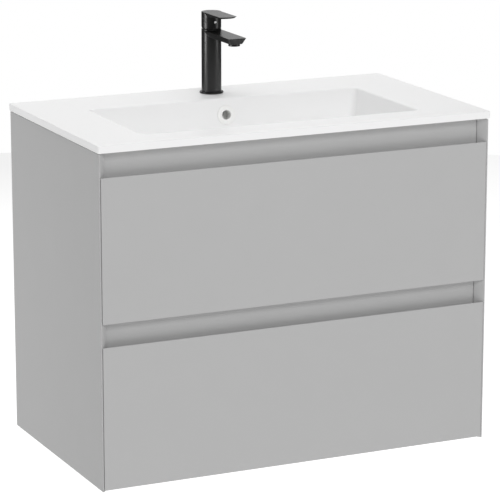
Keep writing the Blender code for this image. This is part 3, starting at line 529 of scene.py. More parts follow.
# %% [markdown]
# ### Drawer fronts
# A front's two sides and its top are cut back behind a lip under a millimetre thick. So the top
# edge looks knife-thin, and fingers reach behind it into the recess. It is again one bevel, on the
# three edges of the back face at once, which gives the proper compound corners.

# %% Drawer fronts
FRONT_LIP = 0.8 * MM


def drawer_front(prefix):
    low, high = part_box(prefix + "_front")
    obj = block(prefix + "_mitred_front", low, high)
    bevel_edges(obj, lambda edge: near(middle(edge).y, high.y) and middle(edge).z > low.z + TOUCH,
                high.y - low.y - FRONT_LIP, 1)
    soften(obj, 0.6 * MM)
    return dress(obj, prefix + "_drawer", "grey_lacquer", lacquer, prefix + "_front")


for prefix in ("upper", "lower"):
    front = drawer_front(prefix)
    print(front.name, [round(value / MM, 1) for value in front.dimensions], "mm")

# %% [markdown]
# ### Rails, bottom and hanging board
# The boards behind the finger recesses are lacquered like the fronts. The hidden ones are
# melamine. The hanging board's two upper corners are notched to let the wall hooks through, which
# is a Boolean with a small block at each end.

# %% Boards between the sides
def plain_board(name, new_name, slot, finish, notches=()):
    low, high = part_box(name)
    obj = block(new_name, low, high)
    for notch_low, notch_high in notches:
        join_shapes(obj, block("notch", notch_low, notch_high))
    soften(obj, 0.5 * MM, 2)
    return dress(obj, "cabinet", slot, finish, name)


plain_board("upper_grip_rail", "upper_recess_back", "grey_lacquer", lacquer)
plain_board("lower_grip_rail", "lower_recess_back", "grey_lacquer", lacquer)
plain_board("bottom_panel", "cabinet_bottom", "carcass_board", melamine)
plain_board("lower_rear_rail", "rear_stretcher", "carcass_board", melamine)

NOTCH_WIDTH, NOTCH_HEIGHT = 32 * MM, 50 * MM
low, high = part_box("hanging_rail")
ends = [((end * (high.x + BOARD), low.y - BOARD, high.z - NOTCH_HEIGHT),
         (end * (high.x + 0.3 * MM - NOTCH_WIDTH), high.y + BOARD, high.z + BOARD)) for end in (-1, 1)]
rail = plain_board("hanging_rail", "hanging_board", "carcass_board", melamine, ends)
print(rail.name, "notched for the hooks")

# %% [markdown]
# ## The basin
# It is cast in one piece: a thin slab with a bowl hanging under it. The bowl's walls lean in by
# 9 degrees so that it leaves its mould, its corners are round, and its rim rolls over by 4 mm.
# The slab starts as a block with rounded edges. The bowl's outside is added, its inside is taken
# away, and only then is the rim bevelled, so that it stays even all round the corners.

# %% Basin
basin_low, basin_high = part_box("basin")
DECK = basin_high.z
SLAB = 14 * MM
BOWL_WIDTH, BOWL_LENGTH, BOWL_BACK, BOWL_DEPTH = 570 * MM, 266.5 * MM, 124.5 * MM, 110 * MM
BOWL_WALL, BOWL_CORNER, BOWL_FOOT, RIM_ROUND = 10 * MM, 12 * MM, 11.5 * MM, 4 * MM
BOWL_LEAN = math.tan(math.radians(9))
BOWL_MIDDLE = -(BOWL_BACK + BOWL_LENGTH / 2)
BOWL_FLOOR = DECK - BOWL_DEPTH


def lies_at(edge, height):
    """Whether an edge is level, at that height."""
    return all(near(vert.co.z, height) for vert in edge.verts)


def tub(name, grow, top, floor):
    """The bowl's form between two heights, larger all round by grow."""
    half_x = BOWL_WIDTH / 2 + grow + (top - DECK) * BOWL_LEAN
    half_y = BOWL_LENGTH / 2 + grow + (top - DECK) * BOWL_LEAN
    obj = block(name, (-half_x, BOWL_MIDDLE - half_y, floor), (half_x, BOWL_MIDDLE + half_y, top))
    lean = (top - floor) * BOWL_LEAN
    pick(obj, "FACE", lambda face: face.normal.z < -0.9)
    bpy.ops.transform.resize(value=(1 - lean / half_x, 1 - lean / half_y, 1),
                             center_override=(0, BOWL_MIDDLE, floor))
    bevel_edges(obj, lambda edge: abs(edge.verts[0].co.z - edge.verts[1].co.z) > lean, BOWL_CORNER + grow, 12)
    bevel_edges(obj, lambda edge: lies_at(edge, floor), BOWL_FOOT + grow, 9)
    return obj


def round_hole(obj, at, facing, diameter, length, sides=96):
    tool = turned("hole", [(diameter / 2, -length / 2), (diameter / 2, length / 2)], at, facing, sides)
    return join_shapes(obj, tool)


basin = block("cast_basin", (basin_low.x, basin_low.y, DECK - SLAB), basin_high)
bevel_edges(basin, lambda edge: runs(edge, 2), 2.5 * MM, 4)
bevel_edges(basin, lambda edge: lies_at(edge, DECK), 1.6 * MM, 4)
bevel_edges(basin, lambda edge: lies_at(edge, DECK - SLAB), 1.0 * MM, 2)
join_shapes(basin, tub("bowl_outside", BOWL_WALL, DECK - SLAB / 2, BOWL_FLOOR - BOWL_WALL), "UNION")
join_shapes(basin, tub("bowl_inside", 0, DECK + 10 * MM, BOWL_FLOOR))


def on_rim(edge):
    place = middle(edge)
    inside = abs(place.x) < BOWL_WIDTH / 2 + TOUCH and abs(place.y - BOWL_MIDDLE) < BOWL_LENGTH / 2 + TOUCH
    return lies_at(edge, DECK) and inside and not edge.is_boundary and edge.calc_face_angle(0) > 0.5


print("rim edges:", bevel_edges(basin, on_rim, RIM_ROUND, 6))


# %% [markdown]
# Three holes go through the casting: the tap hole in the deck, the drain in the floor, and the
# overflow in the rear wall, square to the wall's lean.

# %% Holes in the basin
TAP_Y, DRAIN_Y = -60 * MM, -250 * MM
OVERFLOW_DROP = 32.5 * MM
WALL_OUT = Vector((0, -1, BOWL_LEAN)).normalized()
OVERFLOW_AT = Vector((0, -BOWL_BACK - OVERFLOW_DROP * BOWL_LEAN, DECK - OVERFLOW_DROP))

round_hole(basin, (0, TAP_Y, DECK - SLAB / 2), (0, 0, 1), 35 * MM, 4 * SLAB)
round_hole(basin, (0, DRAIN_Y, BOWL_FLOOR - BOWL_WALL / 2), (0, 0, 1), 46 * MM, 4 * BOWL_WALL)
round_hole(basin, OVERFLOW_AT - WALL_OUT * BOWL_WALL / 2, WALL_OUT, 24 * MM, 4 * BOWL_WALL)
soften(basin, 0)
dress(basin, "cabinet", "basin_glaze", gel_coat, "basin")
print("basin", len(basin.data.polygons), "faces,", [round(value / MM) for value in basin.dimensions], "mm")

# %% [markdown]
# ## The tap
# ### Foot ring and pillar
# The pillar is a turned tube, closed by the handle above. It stands on a low ring that hides the
# hole's edge. Each edge is broken to a fine radius before coating, or the coating would chip.

# %% Tap foot and pillar
def rounded_rim(radius, height, rounding, steps=4, inwards=1):
    """Ring points of a quarter-round edge that ends a wall; it turns towards the axis, or away."""
    return [(radius - inwards * rounding * (1 - math.cos(step / steps * math.pi / 2)),
             height - rounding * (1 - math.sin(step / steps * math.pi / 2))) for step in range(steps + 1)]


foot_low, foot_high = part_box("tap_foot")
foot_height = foot_high.z - foot_low.z
foot_ring = turned("tap_foot_ring",
                   [(12 * MM, 0), (22.8 * MM, 0), (23.3 * MM, 0.5 * MM)]
                   + rounded_rim(23.3 * MM, foot_height, 1.5 * MM) + [(12 * MM, foot_height)],
                   (0, TAP_Y, foot_low.z), hollow=True)
soften(foot_ring, 0)
dress(foot_ring, "cabinet", "black_tap", black_coat, "tap_foot")

PILLAR = 19.4 * MM
SEAT_RADIUS, SEAT_DEPTH = 14.6 * MM, 30 * MM
COLLAR, COLLAR_HIGH = 17.8 * MM, 1.2 * MM      # closes the gap below the handle
body_low, body_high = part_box("tap_body")
pillar_height = body_high.z - body_low.z
pillar = turned("tap_pillar",
                [(PILLAR - 0.4 * MM, 0), (PILLAR, 0.4 * MM)] + rounded_rim(PILLAR, pillar_height, 0.6 * MM)
                + [(COLLAR, pillar_height), (COLLAR, pillar_height + COLLAR_HIGH),
                   (SEAT_RADIUS, pillar_height + COLLAR_HIGH), (SEAT_RADIUS, pillar_height - SEAT_DEPTH)],
                (0, TAP_Y, body_low.z), sides=128)
print("pillar", round(pillar_height / MM, 1), "mm high")

# %% [markdown]
# ### Spout
# The spout is a flat bar that is wide on top and narrow below, and its nose slopes back under. It
# begins as a block. Its underside is squeezed, and its lower front edge is pulled back. It is then
# joined to the pillar, and the seam gets the small fillet that the casting has.

# %% Spout and its joint
SPOUT_WIDTH, SPOUT_UNDER, SPOUT_THICK, NOSE_SLOPE = 37.5 * MM, 26 * MM, 11.8 * MM, 5.5 * MM
SPOUT_TOP = DECK + 125 * MM
spout_low_z = SPOUT_TOP - SPOUT_THICK
nose = body_low.y

spout = block("spout", (-SPOUT_WIDTH / 2, nose, spout_low_z), (SPOUT_WIDTH / 2, TAP_Y, SPOUT_TOP))
pick(spout, "FACE", lambda face: face.normal.z < -0.9)
bpy.ops.transform.resize(value=(SPOUT_UNDER / SPOUT_WIDTH, 1, 1), center_override=(0, TAP_Y, spout_low_z))
pick(spout, "EDGE", lambda edge: near(middle(edge).z, spout_low_z) and near(middle(edge).y, nose))
bpy.ops.transform.translate(value=(0, NOSE_SLOPE, 0))
bevel_edges(spout, lambda edge: middle(edge).y < nose + NOSE_SLOPE and not runs(edge, 0) and
            not runs(edge, 1) and abs(middle(edge).x) > SPOUT_UNDER / 2, 3.5 * MM, 5)
soften(spout, 0.7 * MM, 3)
join_shapes(pillar, spout, "UNION")


def on_seam(edge):
    place = middle(edge)
    reach = [math.hypot(vert.co.x, vert.co.y - TAP_Y) for vert in edge.verts]
    return (max(abs(value - PILLAR) for value in reach) < 0.08 * MM and place.y < TAP_Y - 1 * MM
            and spout_low_z - MM < place.z < SPOUT_TOP - 2 * MM and edge.calc_face_angle(0) > 0.6)


print("seam edges:", bevel_edges(pillar, on_seam, 1.6 * MM, 3))

AERATOR = 22.5 * MM
aerator_low, aerator_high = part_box("tap_aerator")
aerator_y = (aerator_low.y + aerator_high.y) / 2
round_hole(pillar, (0, aerator_y, spout_low_z), (0, 0, 1), AERATOR + 0.6 * MM, 8 * MM, 72)
soften(pillar, 0)
dress(pillar, "cabinet", "black_tap", black_coat, "tap_body")

# %% [markdown]
# ### Aerator
# The aerator is a screwed-in ring that holds a star of fins, which mixes air into the water. The
# ring is turned, and the fins are one thin block, copied round the middle.

# %% Aerator
ring_height = aerator_high.z - aerator_low.z
aerator = turned("tap_aerator_ring",
                 [(AERATOR / 2 - 2 * MM, 0.4 * MM), (AERATOR / 2 - 1.6 * MM, 0), (AERATOR / 2 - 0.4 * MM, 0),
                  (AERATOR / 2, 0.4 * MM), (AERATOR / 2, ring_height), (AERATOR / 2 - 2 * MM, ring_height)],
                 (0, aerator_y, aerator_low.z), hollow=True, sides=72)
plate_z = aerator_low.z + 1.6 * MM
plate = turned("aerator_plate", [(AERATOR / 2 - 1.8 * MM, 0), (AERATOR / 2 - 1.8 * MM, MM)],
               (0, aerator_y, plate_z), sides=72)
FINS = 6
for index in range(FINS):
    half_fin = AERATOR / 2 - 1.9 * MM
    fin = block("fin", (-0.4 * MM, -half_fin, -1.0 * MM), (0.4 * MM, half_fin, 0.2 * MM))
    fin.rotation_euler.z = index * math.pi / FINS
    fin.location = (0, aerator_y, plate_z)
    join_shapes(plate, settle(fin), "UNION")
join_shapes(aerator, plate, "UNION")
soften(aerator, 0)
dress(aerator, "cabinet", "black_tap", black_coat, "tap_aerator")
print("aerator with", FINS, "fins")

# %% [markdown]
# ### Handle
# The handle is a cap over the cartridge with a flat lever growing from its top. The lever keeps
# its width, its tip is bowed, and it thins from 9 mm to 3 mm. Behind, the cap's lower edge is cut
# on a slope so that the handle can tip back 22 degrees without touching the pillar.

# %% Lever
LEVER_WIDTH, LEVER_UNDER, LEVER_ROOT, LEVER_TIP, TIP_BOW = 36 * MM, 28 * MM, 9 * MM, 3 * MM, 6 * MM
handle_low, handle_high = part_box("tap_handle")
handle_height = handle_high.z - handle_low.z
lift = next(joint for joint in frame["record"]["behaviour"]["joints"] if joint["name"] == "tap_lift")
PIVOT = Vector(lift["pos_m"])
LIFT_ANGLE = math.radians(lift["range_deg"][1])
lever_tip = handle_low.y
reach = TAP_Y - lever_tip

lever = block("lever", (-LEVER_WIDTH / 2, lever_tip, handle_high.z - LEVER_ROOT),
              (LEVER_WIDTH / 2, TAP_Y, handle_high.z))
bow_radius = ((LEVER_WIDTH / 2) ** 2 + TIP_BOW ** 2) / (2 * TIP_BOW)
waste_stock = block("stock", (-LEVER_WIDTH, lever_tip - MM, handle_high.z - 2 * LEVER_ROOT),
                    (LEVER_WIDTH, lever_tip + TIP_BOW + MM, handle_high.z + LEVER_ROOT))
join_shapes(waste_stock, turned("bow", [(bow_radius, -3 * LEVER_ROOT), (bow_radius, 3 * LEVER_ROOT)],
                                (0, lever_tip + bow_radius, handle_high.z), sides=160))
join_shapes(lever, waste_stock)
pick(lever, "FACE", lambda face: face.normal.z < -0.9)
root_z = handle_high.z - LEVER_ROOT
bpy.ops.transform.resize(value=(LEVER_UNDER / LEVER_WIDTH, 1 - 4 * MM / reach, 1),
                         center_override=(0, TAP_Y, root_z))
bpy.ops.transform.rotate(value=math.atan((LEVER_ROOT - LEVER_TIP) / reach), orient_axis="X",
                         center_override=(0, TAP_Y, root_z))
bpy.ops.object.mode_set(mode="OBJECT")
print("lever", [round(value / MM, 1) for value in lever.dimensions], "mm")

# %% Cap, its sloped cut and the dot
cap = turned("tap_lever_handle",
             [(PILLAR - 0.4 * MM, 0), (PILLAR, 0.4 * MM), (PILLAR, handle_height)],
             (0, TAP_Y, handle_low.z), sides=128)
join_shapes(cap, lever, "UNION")
room = PIVOT.z + 8 * MM - handle_low.z
round_hole(cap, (0, TAP_Y, handle_low.z), (0, 0, 1), 2 * (PILLAR - 3 * MM), 2 * room)
slope = block("slope", (-2 * PILLAR, 0, -2 * PILLAR), (2 * PILLAR, 4 * PILLAR, 0))
slope.rotation_euler.x = LIFT_ANGLE
slope.location = (0, TAP_Y, handle_low.z)
join_shapes(cap, settle(slope))

DOT_RADIUS = 2.5 * MM
dot_low, dot_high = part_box("tap_indicator")
dot_z = (dot_low.z + dot_high.z) / 2
round_hole(cap, (0, dot_high.y, dot_z), (0, 1, 0), 2 * DOT_RADIUS + 0.6 * MM, 6 * MM, 48)
soften(cap, 0.5 * MM, 3, 35)
dress(cap, "tap_lever", "black_tap", black_coat, "tap_handle")

dot = turned("tap_dot", [(DOT_RADIUS, 0), (DOT_RADIUS, 1.1 * MM), (DOT_RADIUS - 0.3 * MM, 1.45 * MM),
                         (0.6 * MM, 1.6 * MM)], (0, dot_high.y, dot_z), (0, -1, 0), 48)
soften(dot, 0)
dress(dot, "tap_lever", "chrome", satin, "tap_indicator")
print("handle", len(cap.data.polygons), "faces")

# %% [markdown]
# ### Overflow ring
# A white trim ring is pressed into the hole in the bowl's rear wall, and lies square to the wall.

# %% Overflow ring
RING_BORE, RING_RIM, SLEEVE, SLEEVE_DEEP = 9.25 * MM, 19 * MM, 11.7 * MM, 11 * MM
overflow_ring = turned("overflow_trim_ring",
                       [(RING_BORE, -SLEEVE_DEEP), (RING_BORE, 1.4 * MM), (10.1 * MM, 2.1 * MM),
                        (11 * MM, 2.2 * MM), (17 * MM, 1.9 * MM), (18.4 * MM, 1.4 * MM),
                        (RING_RIM, 0.7 * MM), (RING_RIM, 0.3 * MM), (SLEEVE, 0.3 * MM),
                        (SLEEVE, -SLEEVE_DEEP)],
                       OVERFLOW_AT, WALL_OUT, hollow=True)
soften(overflow_ring, 0)
dress(overflow_ring, "cabinet", "white_plastic", plastic, "overflow_ring")
print("overflow ring", round(overflow_ring.dimensions.x / MM, 1), "mm wide")

# %% [markdown]
# ## The drawers
# ### Steel sides
# Each side is a double wall folded from sheet steel, 13 mm thick over all. Its top edge is rolled,
# and both faces have a long shallow pressing that stiffens them. The roll is one wide bevel, and
# the pressing is an inset that is pushed in.

# %% Drawer sides
BODY_OF = {name: body for body, names in frame["record"]["behaviour"]["bodies"].items() for name in names}
ROLL, PRESS_EDGE, PRESS_DEPTH = 5 * MM, 9 * MM, 0.7 * MM


def wear(obj, node_name, finish):
    """Dresses a piece as the one CAD node it stands for."""
    return dress(obj, BODY_OF[node_name], SLOT[node_name], finish, node_name)


def drawer_side(prefix, word):
    name = f"{prefix}_side_{word}"
    low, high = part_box(name)
    obj = block(f"{prefix}_steel_wall_{word}", low, high)
    bevel_edges(obj, lambda edge: runs(edge, 1) and near(middle(edge).z, high.z), ROLL, 5)
    for place in (low.x, high.x):
        pick(obj, "FACE", lambda face: near(middle(face).x, place) and abs(face.normal.x) > 0.9)
        bpy.ops.mesh.inset(thickness=PRESS_EDGE)
        bpy.ops.mesh.inset(thickness=1.5 * MM, depth=-PRESS_DEPTH)
    soften(obj, 0.4 * MM, 2, 20)
    return wear(obj, name, powder)


for prefix in ("upper", "lower"):
    for word in ("left", "right"):
        wall = drawer_side(prefix, word)
print(wall.name, len(wall.data.polygons), "faces")

# %% [markdown]
# ### Floors, backs and the trap's guard
# The upper drawer has to pass round the trap. Its floor has a U-shaped cut-out, and a U-shaped
# guard stands on the floor round it, so nothing falls through. Both are a plain block less a
# round-cornered one.

# %% Drawer floors and backs
TRAP_SLOT, GUARD_WALL = 160 * MM, 8 * MM
guard_low, guard_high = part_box("upper_trap_guard")
slot_front = guard_low.y + GUARD_WALL


def slot_tool(rounding):
    tool = block("slot", (-TRAP_SLOT / 2, slot_front, guard_low.z - 2 * BOARD),
                 (TRAP_SLOT / 2, 0, guard_high.z + BOARD))
    bevel_edges(tool, lambda edge: runs(edge, 2) and near(middle(edge).y, slot_front), rounding, 10)
    return tool


def drawer_board(name, new_name, slotted=False, edge=0.5 * MM):
    low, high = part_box(name)
    obj = block(new_name, low, high)
    if slotted:
        join_shapes(obj, slot_tool(24 * MM))
    soften(obj, edge, 3)
    return wear(obj, name, linen)


drawer_board("upper_bottom", "upper_slotted_floor", True)
drawer_board("lower_bottom", "lower_floor")
drawer_board("upper_back_left", "upper_rear_board_left", edge=2 * MM)
drawer_board("upper_back_right", "upper_rear_board_right", edge=2 * MM)
drawer_board("lower_back", "lower_rear_board", edge=2 * MM)

guard = block("trap_guard", guard_low, guard_high)
bevel_edges(guard, lambda edge: runs(edge, 2) and near(middle(edge).y, guard_low.y), 32 * MM, 10)
join_shapes(guard, slot_tool(24 * MM))
soften(guard, 1.6 * MM, 3, 50)
wear(guard, "upper_trap_guard", powder)
print("guard", len(guard.data.polygons), "faces")

# %% [markdown]
# ### Front fixings
# A die-cast bracket behind each end of a front takes the drawer side, and a round cam in it is
# turned to clamp the front. The cross in the cam is two thin blocks taken away. The bracket is
# modelled once and copied, each copy with its own mesh.

# %% Front brackets
def copy_of(obj, name, shift, mirror_x=False):
    """A copy with its own mesh, moved, and mirrored across the middle if asked."""
    twin = obj.copy()
    twin.data = obj.data.copy()
    twin.name = name
    bpy.context.scene.collection.objects.link(twin)
    twin.location = shift
    if mirror_x:
        twin.scale.x = -1
    settle(twin)
    if mirror_x:
        pick(twin, "FACE", lambda face: True)
        bpy.ops.mesh.normals_make_consistent(inside=False)
        bpy.ops.object.mode_set(mode="OBJECT")
    return twin


def cross_head(name, radius, height, at, facing):
    """A domed round head with a cross recess."""
    head = turned(name, [(radius, 0), (radius, 0.45 * height), (0.86 * radius, 0.8 * height),
                         (0.5 * radius, height), (0.1 * radius, height)], sides=40)
    for size in ((1.3 * radius, 0.22 * radius), (0.22 * radius, 1.3 * radius)):
        join_shapes(head, block("cross", (-size[0] / 2, -size[1] / 2, 0.45 * height),
                                (size[0] / 2, size[1] / 2, 2 * height)))
    return aim(head, at, facing)


side_low, side_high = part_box("upper_side_right")
front_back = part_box("upper_front")[1].y
BRACKET_THICK, BRACKET_LONG, BRACKET_HIGH, CAM = 5 * MM, 42 * MM, 58 * MM, 7 * MM
bracket_x = side_low.x - 0.3 * MM
bracket_z = side_high.z - ROLL - BRACKET_HIGH
bracket = block("upper_front_bracket_right", (bracket_x - BRACKET_THICK, front_back + 0.3 * MM, bracket_z),
                (bracket_x, front_back + BRACKET_LONG, bracket_z + BRACKET_HIGH))
bevel_edges(bracket, lambda edge: runs(edge, 0) and middle(edge).y > front_back + BOARD, 8 * MM, 6)
soften(bracket, 0.8 * MM, 3)
cam_at = (bracket_x - BRACKET_THICK, front_back + 0.55 * BRACKET_LONG, bracket_z + BRACKET_HIGH / 2)
join_shapes(bracket, cross_head("cam", CAM, 1.6 * MM, cam_at, (-1, 0, 0)), "UNION")
soften(bracket, 0)
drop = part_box("lower_side_right")[1].z - side_high.z
copies = [bracket, copy_of(bracket, "upper_front_bracket_left", (0, 0, 0), True),
          copy_of(bracket, "lower_front_bracket_right", (0, 0, drop)),
          copy_of(bracket, "lower_front_bracket_left", (0, 0, drop), True)]
for obj in copies:
    dress(obj, obj.name.split("_")[0] + "_drawer", "runner_steel", zinc)
print([obj.name for obj in copies])

# %% [markdown]
# ### Runners
# A full-extension runner is three channels folded from 1.2 mm strip that nest in each other and
# roll on balls. A block loses its open side and both ends, the two folds are rounded, and Solidify
# gives the strip its thickness. A row of slots in the web is one rounded block, repeated by an
# Array and taken away at once.

# %% Runners
STRIP, FOLD = 1.2 * MM, 2.2 * MM
SLOT_PITCH, SLOT_LONG, SLOT_HIGH, SLOT_COUNT = 60 * MM, 22 * MM, 7 * MM, 6


def folded_rail(name, new_name, opens):
    """A channel along Y; opens is the X direction, 1 or -1, that its lips point in."""
    low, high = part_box(name)
    obj = block(new_name, low, high)
    open_x = high.x if opens > 0 else low.x
    pick(obj, "FACE", lambda face: near(middle(face).x, open_x) or abs(face.normal.y) > 0.9)
    bpy.ops.mesh.delete(type="FACE")
    bevel_edges(obj, lambda edge: runs(edge, 1) and not edge.is_boundary, FOLD, 4)
    strip = obj.modifiers.new("strip", "SOLIDIFY")
    strip.thickness, strip.offset, strip.use_even_offset = STRIP, -1, True
    apply_modifiers(obj)
    web_x = low.x if opens > 0 else high.x
    tool = block("slot", (web_x - 3 * STRIP, low.y + SLOT_PITCH / 2, (low.z + high.z - SLOT_HIGH) / 2),
                 (web_x + 3 * STRIP, low.y + SLOT_PITCH / 2 + SLOT_LONG, (low.z + high.z + SLOT_HIGH) / 2))
    bevel_edges(tool, lambda edge: runs(edge, 0), 0.49 * SLOT_HIGH, 6)
    row = tool.modifiers.new("row", "ARRAY")
    row.count, row.use_relative_offset, row.use_constant_offset = SLOT_COUNT, False, True
    row.constant_offset_displace = (0, SLOT_PITCH, 0)
    apply_modifiers(tool)
    join_shapes(obj, tool)
    soften(obj, 0)
    return wear(obj, name, zinc)


for prefix in ("upper", "lower"):
    for word, side in (("left", -1), ("right", 1)):
        folded_rail(f"{prefix}_cabinet_rail_{word}", f"{prefix}_outer_channel_{word}", -side)
        folded_rail(f"{prefix}_middle_rail_{word}", f"{prefix}_middle_channel_{word}", -side)
        rail = folded_rail(f"{prefix}_drawer_rail_{word}", f"{prefix}_inner_channel_{word}", side)
print(rail.name, len(rail.data.polygons), "faces")

# %% [markdown]
# ### Hanging brackets
# A steel case on each side panel holds a hook that reaches back through the board's notch, over
# the edge of a plate on the wall. Two screws in the case's face lift the hook and draw it in.

# %% Hanging brackets
HOOK_STEEL, HOOK_BELOW, HOOK_DROP = 3 * MM, 12 * MM, 14 * MM


def hanging_bracket(word):
    name = "hanger_" + word
    low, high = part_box(name)
    case_rear = -BOARD - 0.3 * MM
    obj = block("hanging_case_" + word, low, (high.x, case_rear, high.z))
    bevel_edges(obj, lambda edge: near(middle(edge).y, low.y), 3 * MM, 4)
    hook_z = high.z - HOOK_BELOW
    x = (low.x + 4 * MM, high.x - 4 * MM)
    tongue = block("tongue", (x[0], case_rear - 4 * MM, hook_z), (x[1], -2 * HOOK_STEEL, hook_z + HOOK_STEEL))
    tip = block("tip", (x[0], -2 * HOOK_STEEL, hook_z - HOOK_DROP), (x[1], -0.3 * MM, hook_z + HOOK_STEEL))
    bevel_edges(tip, lambda edge: runs(edge, 0) and near(middle(edge).z, hook_z + HOOK_STEEL)
                and middle(edge).y > -HOOK_STEEL, 2.4 * MM, 4)
    join_shapes(obj, tip, "UNION")
    join_shapes(obj, tongue, "UNION")
    screw_x = (low.x + high.x) / 2
    for place in (0.3, 0.72):
        screw_at = Vector((screw_x, low.y, low.z + place * (high.z - low.z)))
        round_hole(obj, screw_at, (0, 1, 0), 11 * MM, 5 * MM, 40)
        screw_at.y += 2.6 * MM
        join_shapes(obj, cross_head("screw", 4.6 * MM, 2 * MM, screw_at, (0, -1, 0)), "UNION")
    soften(obj, 0)
    return wear(obj, name, zinc)


for word in ("left", "right"):
    case = hanging_bracket(word)
print(case.name, len(case.data.polygons), "faces")

# %% [markdown]
# ## Under the basin
# ### Waste and plug
# The waste is turned brass under chrome. Its flange lies in the bowl, its tube hangs through the
# drain and carries a thread, and a four-armed spider guides the plug's stem. A thread this small
# can be plain rings: 2 mm apart and 0.5 mm deep, it reads the same.

# %% Helpers: threads, nuts, ribs and plain rings
THREAD_PITCH, THREAD_DEPTH = 2 * MM, 0.5 * MM


def thread(radius, start, end):
    """Ring points that zigzag from start to end, never outside radius."""
    way = 1 if end > start else -1
    turns = int(abs(end - start) / THREAD_PITCH)
    points = []
    for turn in range(turns):
        at = start + way * turn * THREAD_PITCH
        points += [(radius, at), (radius, at + way * 0.3 * THREAD_PITCH),
                   (radius - THREAD_DEPTH, at + way * 0.6 * THREAD_PITCH),
                   (radius - THREAD_DEPTH, at + way * 0.75 * THREAD_PITCH)]
    return points


def hex_nut(name, new_name, bore, finish):
    """A six-sided nut whose corners are turned off at both ends."""
    low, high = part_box(name)
    at = ((low.x + high.x) / 2, (low.y + high.y) / 2, low.z)
    radius, height, turned_off = (high.y - low.y) / 2, high.z - low.z, 1.5 * MM
    obj = turned(new_name, [(radius, 0), (radius, height)], at, sides=6)
    inside = 0.9 * radius
    join_shapes(obj, turned("corners", [(inside, 0), (radius, turned_off), (radius, height - turned_off),
                                        (inside, height)], at), "INTERSECT")
    round_hole(obj, (at[0], at[1], low.z + height / 2), (0, 0, 1), bore, 2 * height)
    soften(obj, 0.3 * MM, 2, 25)
    return wear(obj, name, finish)


def plain_ring(name, new_name, bore, finish, edge=0.8 * MM):
    """A washer with rounded edges."""
    low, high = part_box(name)
    radius, height, inner = (high.x - low.x) / 2, high.z - low.z, bore / 2
    obj = turned(new_name, [(inner, 0), (radius - edge, 0), (radius, edge), (radius, height - edge),
                            (radius - edge, height), (inner, height)],
                 ((low.x + high.x) / 2, (low.y + high.y) / 2, low.z), hollow=True)
    soften(obj, 0, 0)
    return wear(obj, name, finish)


def rib(obj, centre, axis, radius, count, low, high, shrink):
    """Presses every other strip of a turned side inwards, so that ribs stand between them."""
    def in_groove(vert):
        offset = vert.co - centre
        along = offset[axis]
        flat = offset.copy()
        flat[axis] = 0
        turn = math.atan2(flat[(axis + 1) % 3], flat[(axis + 2) % 3]) / (2 * math.pi) * count
        return low < along < high and abs(flat.length - radius) < 0.2 * MM and (turn % 1) > 0.49
    pick(obj, "VERT", in_groove)
    factor = [shrink] * 3
    factor[axis] = 1
    bpy.ops.transform.resize(value=factor, center_override=centre)
    bpy.ops.object.mode_set(mode="OBJECT")


# %% Waste body
SEAT = BOWL_FLOOR + 0.3 * MM
WASTE_RIM, WASTE_TUBE, WASTE_BORE, FLANGE = 31 * MM, 20 * MM, 17 * MM, 2.2 * MM
WASTE_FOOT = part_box("waste_body")[0].z
PORT_Z = BOWL_FLOOR - 42 * MM
drain_at = Vector((0, DRAIN_Y, 0))
body = turned("waste_fitting",
              [(WASTE_BORE + 4 * MM, SEAT + 0.8 * FLANGE), (WASTE_RIM - 4 * MM, SEAT + FLANGE),
               (WASTE_RIM - 1.6 * MM, SEAT + 0.85 * FLANGE), (WASTE_RIM - 0.4 * MM, SEAT + 0.5 * FLANGE),
               (WASTE_RIM, SEAT), (WASTE_TUBE, SEAT)]
              + thread(WASTE_TUBE, SEAT - 12 * MM, PORT_Z + 9 * MM)
              + [(WASTE_TUBE, PORT_Z + 9 * MM), (WASTE_TUBE, WASTE_FOOT + 0.5 * MM),
                 (WASTE_TUBE - 0.5 * MM, WASTE_FOOT), (WASTE_BORE, WASTE_FOOT), (WASTE_BORE, SEAT - 4 * MM)],
              drain_at, hollow=True)
spider_high = SEAT - 14 * MM
for size in ((18.5 * MM, 1.5 * MM), (1.5 * MM, 18.5 * MM)):
    join_shapes(body, block("arm", (-size[0], DRAIN_Y - size[1], spider_high - 10 * MM),
                            (size[0], DRAIN_Y + size[1], spider_high)), "UNION")
join_shapes(body, turned("hub", [(7.5 * MM, 0), (7.5 * MM, 10 * MM)], (0, DRAIN_Y, spider_high - 10 * MM),
                         sides=40), "UNION")
round_hole(body, (0, DRAIN_Y, spider_high), (0, 0, 1), 8.6 * MM, 40 * MM, 40)
port = turned("port", [(8 * MM, 0), (8 * MM, 8.7 * MM), (7.4 * MM, 10.7 * MM)],
              (0, DRAIN_Y + 19 * MM, PORT_Z), (0, 1, 0), 40)
join_shapes(body, port, "UNION")
round_hole(body, (0, DRAIN_Y + 27 * MM, PORT_Z), (0, 1, 0), 11 * MM, 24 * MM, 40)
soften(body, 0)
wear(body, "waste_body", chrome)
print("waste", len(body.data.polygons), "faces")

# %% Plug, gasket and nut
plug_low, plug_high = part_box("waste_plug")
PLUG, STEM, DOME = 28 * MM, 4 * MM, 6.2 * MM
cap = plug_high.z - DOME
plug = turned("waste_stopper",
              [(STEM - 0.6 * MM, plug_low.z), (STEM, plug_low.z + 0.8 * MM), (STEM, cap),
               (PLUG - 0.8 * MM, cap), (PLUG, cap + 0.6 * MM)]
              + [(share * PLUG, cap + DOME * (1 - 0.7 * share ** 2))
                 for share in (0.99, 0.93, 0.8, 0.6, 0.35, 0.05)],
              drain_at)
soften(plug, 0)
wear(plug, "waste_plug", chrome)
plain_ring("waste_gasket", "waste_seal_ring", 40.6 * MM, rubber)
hex_nut("waste_nut", "waste_clamp_nut", 40.6 * MM, brass)
print("plug", round(plug.dimensions.x / MM), "mm wide")

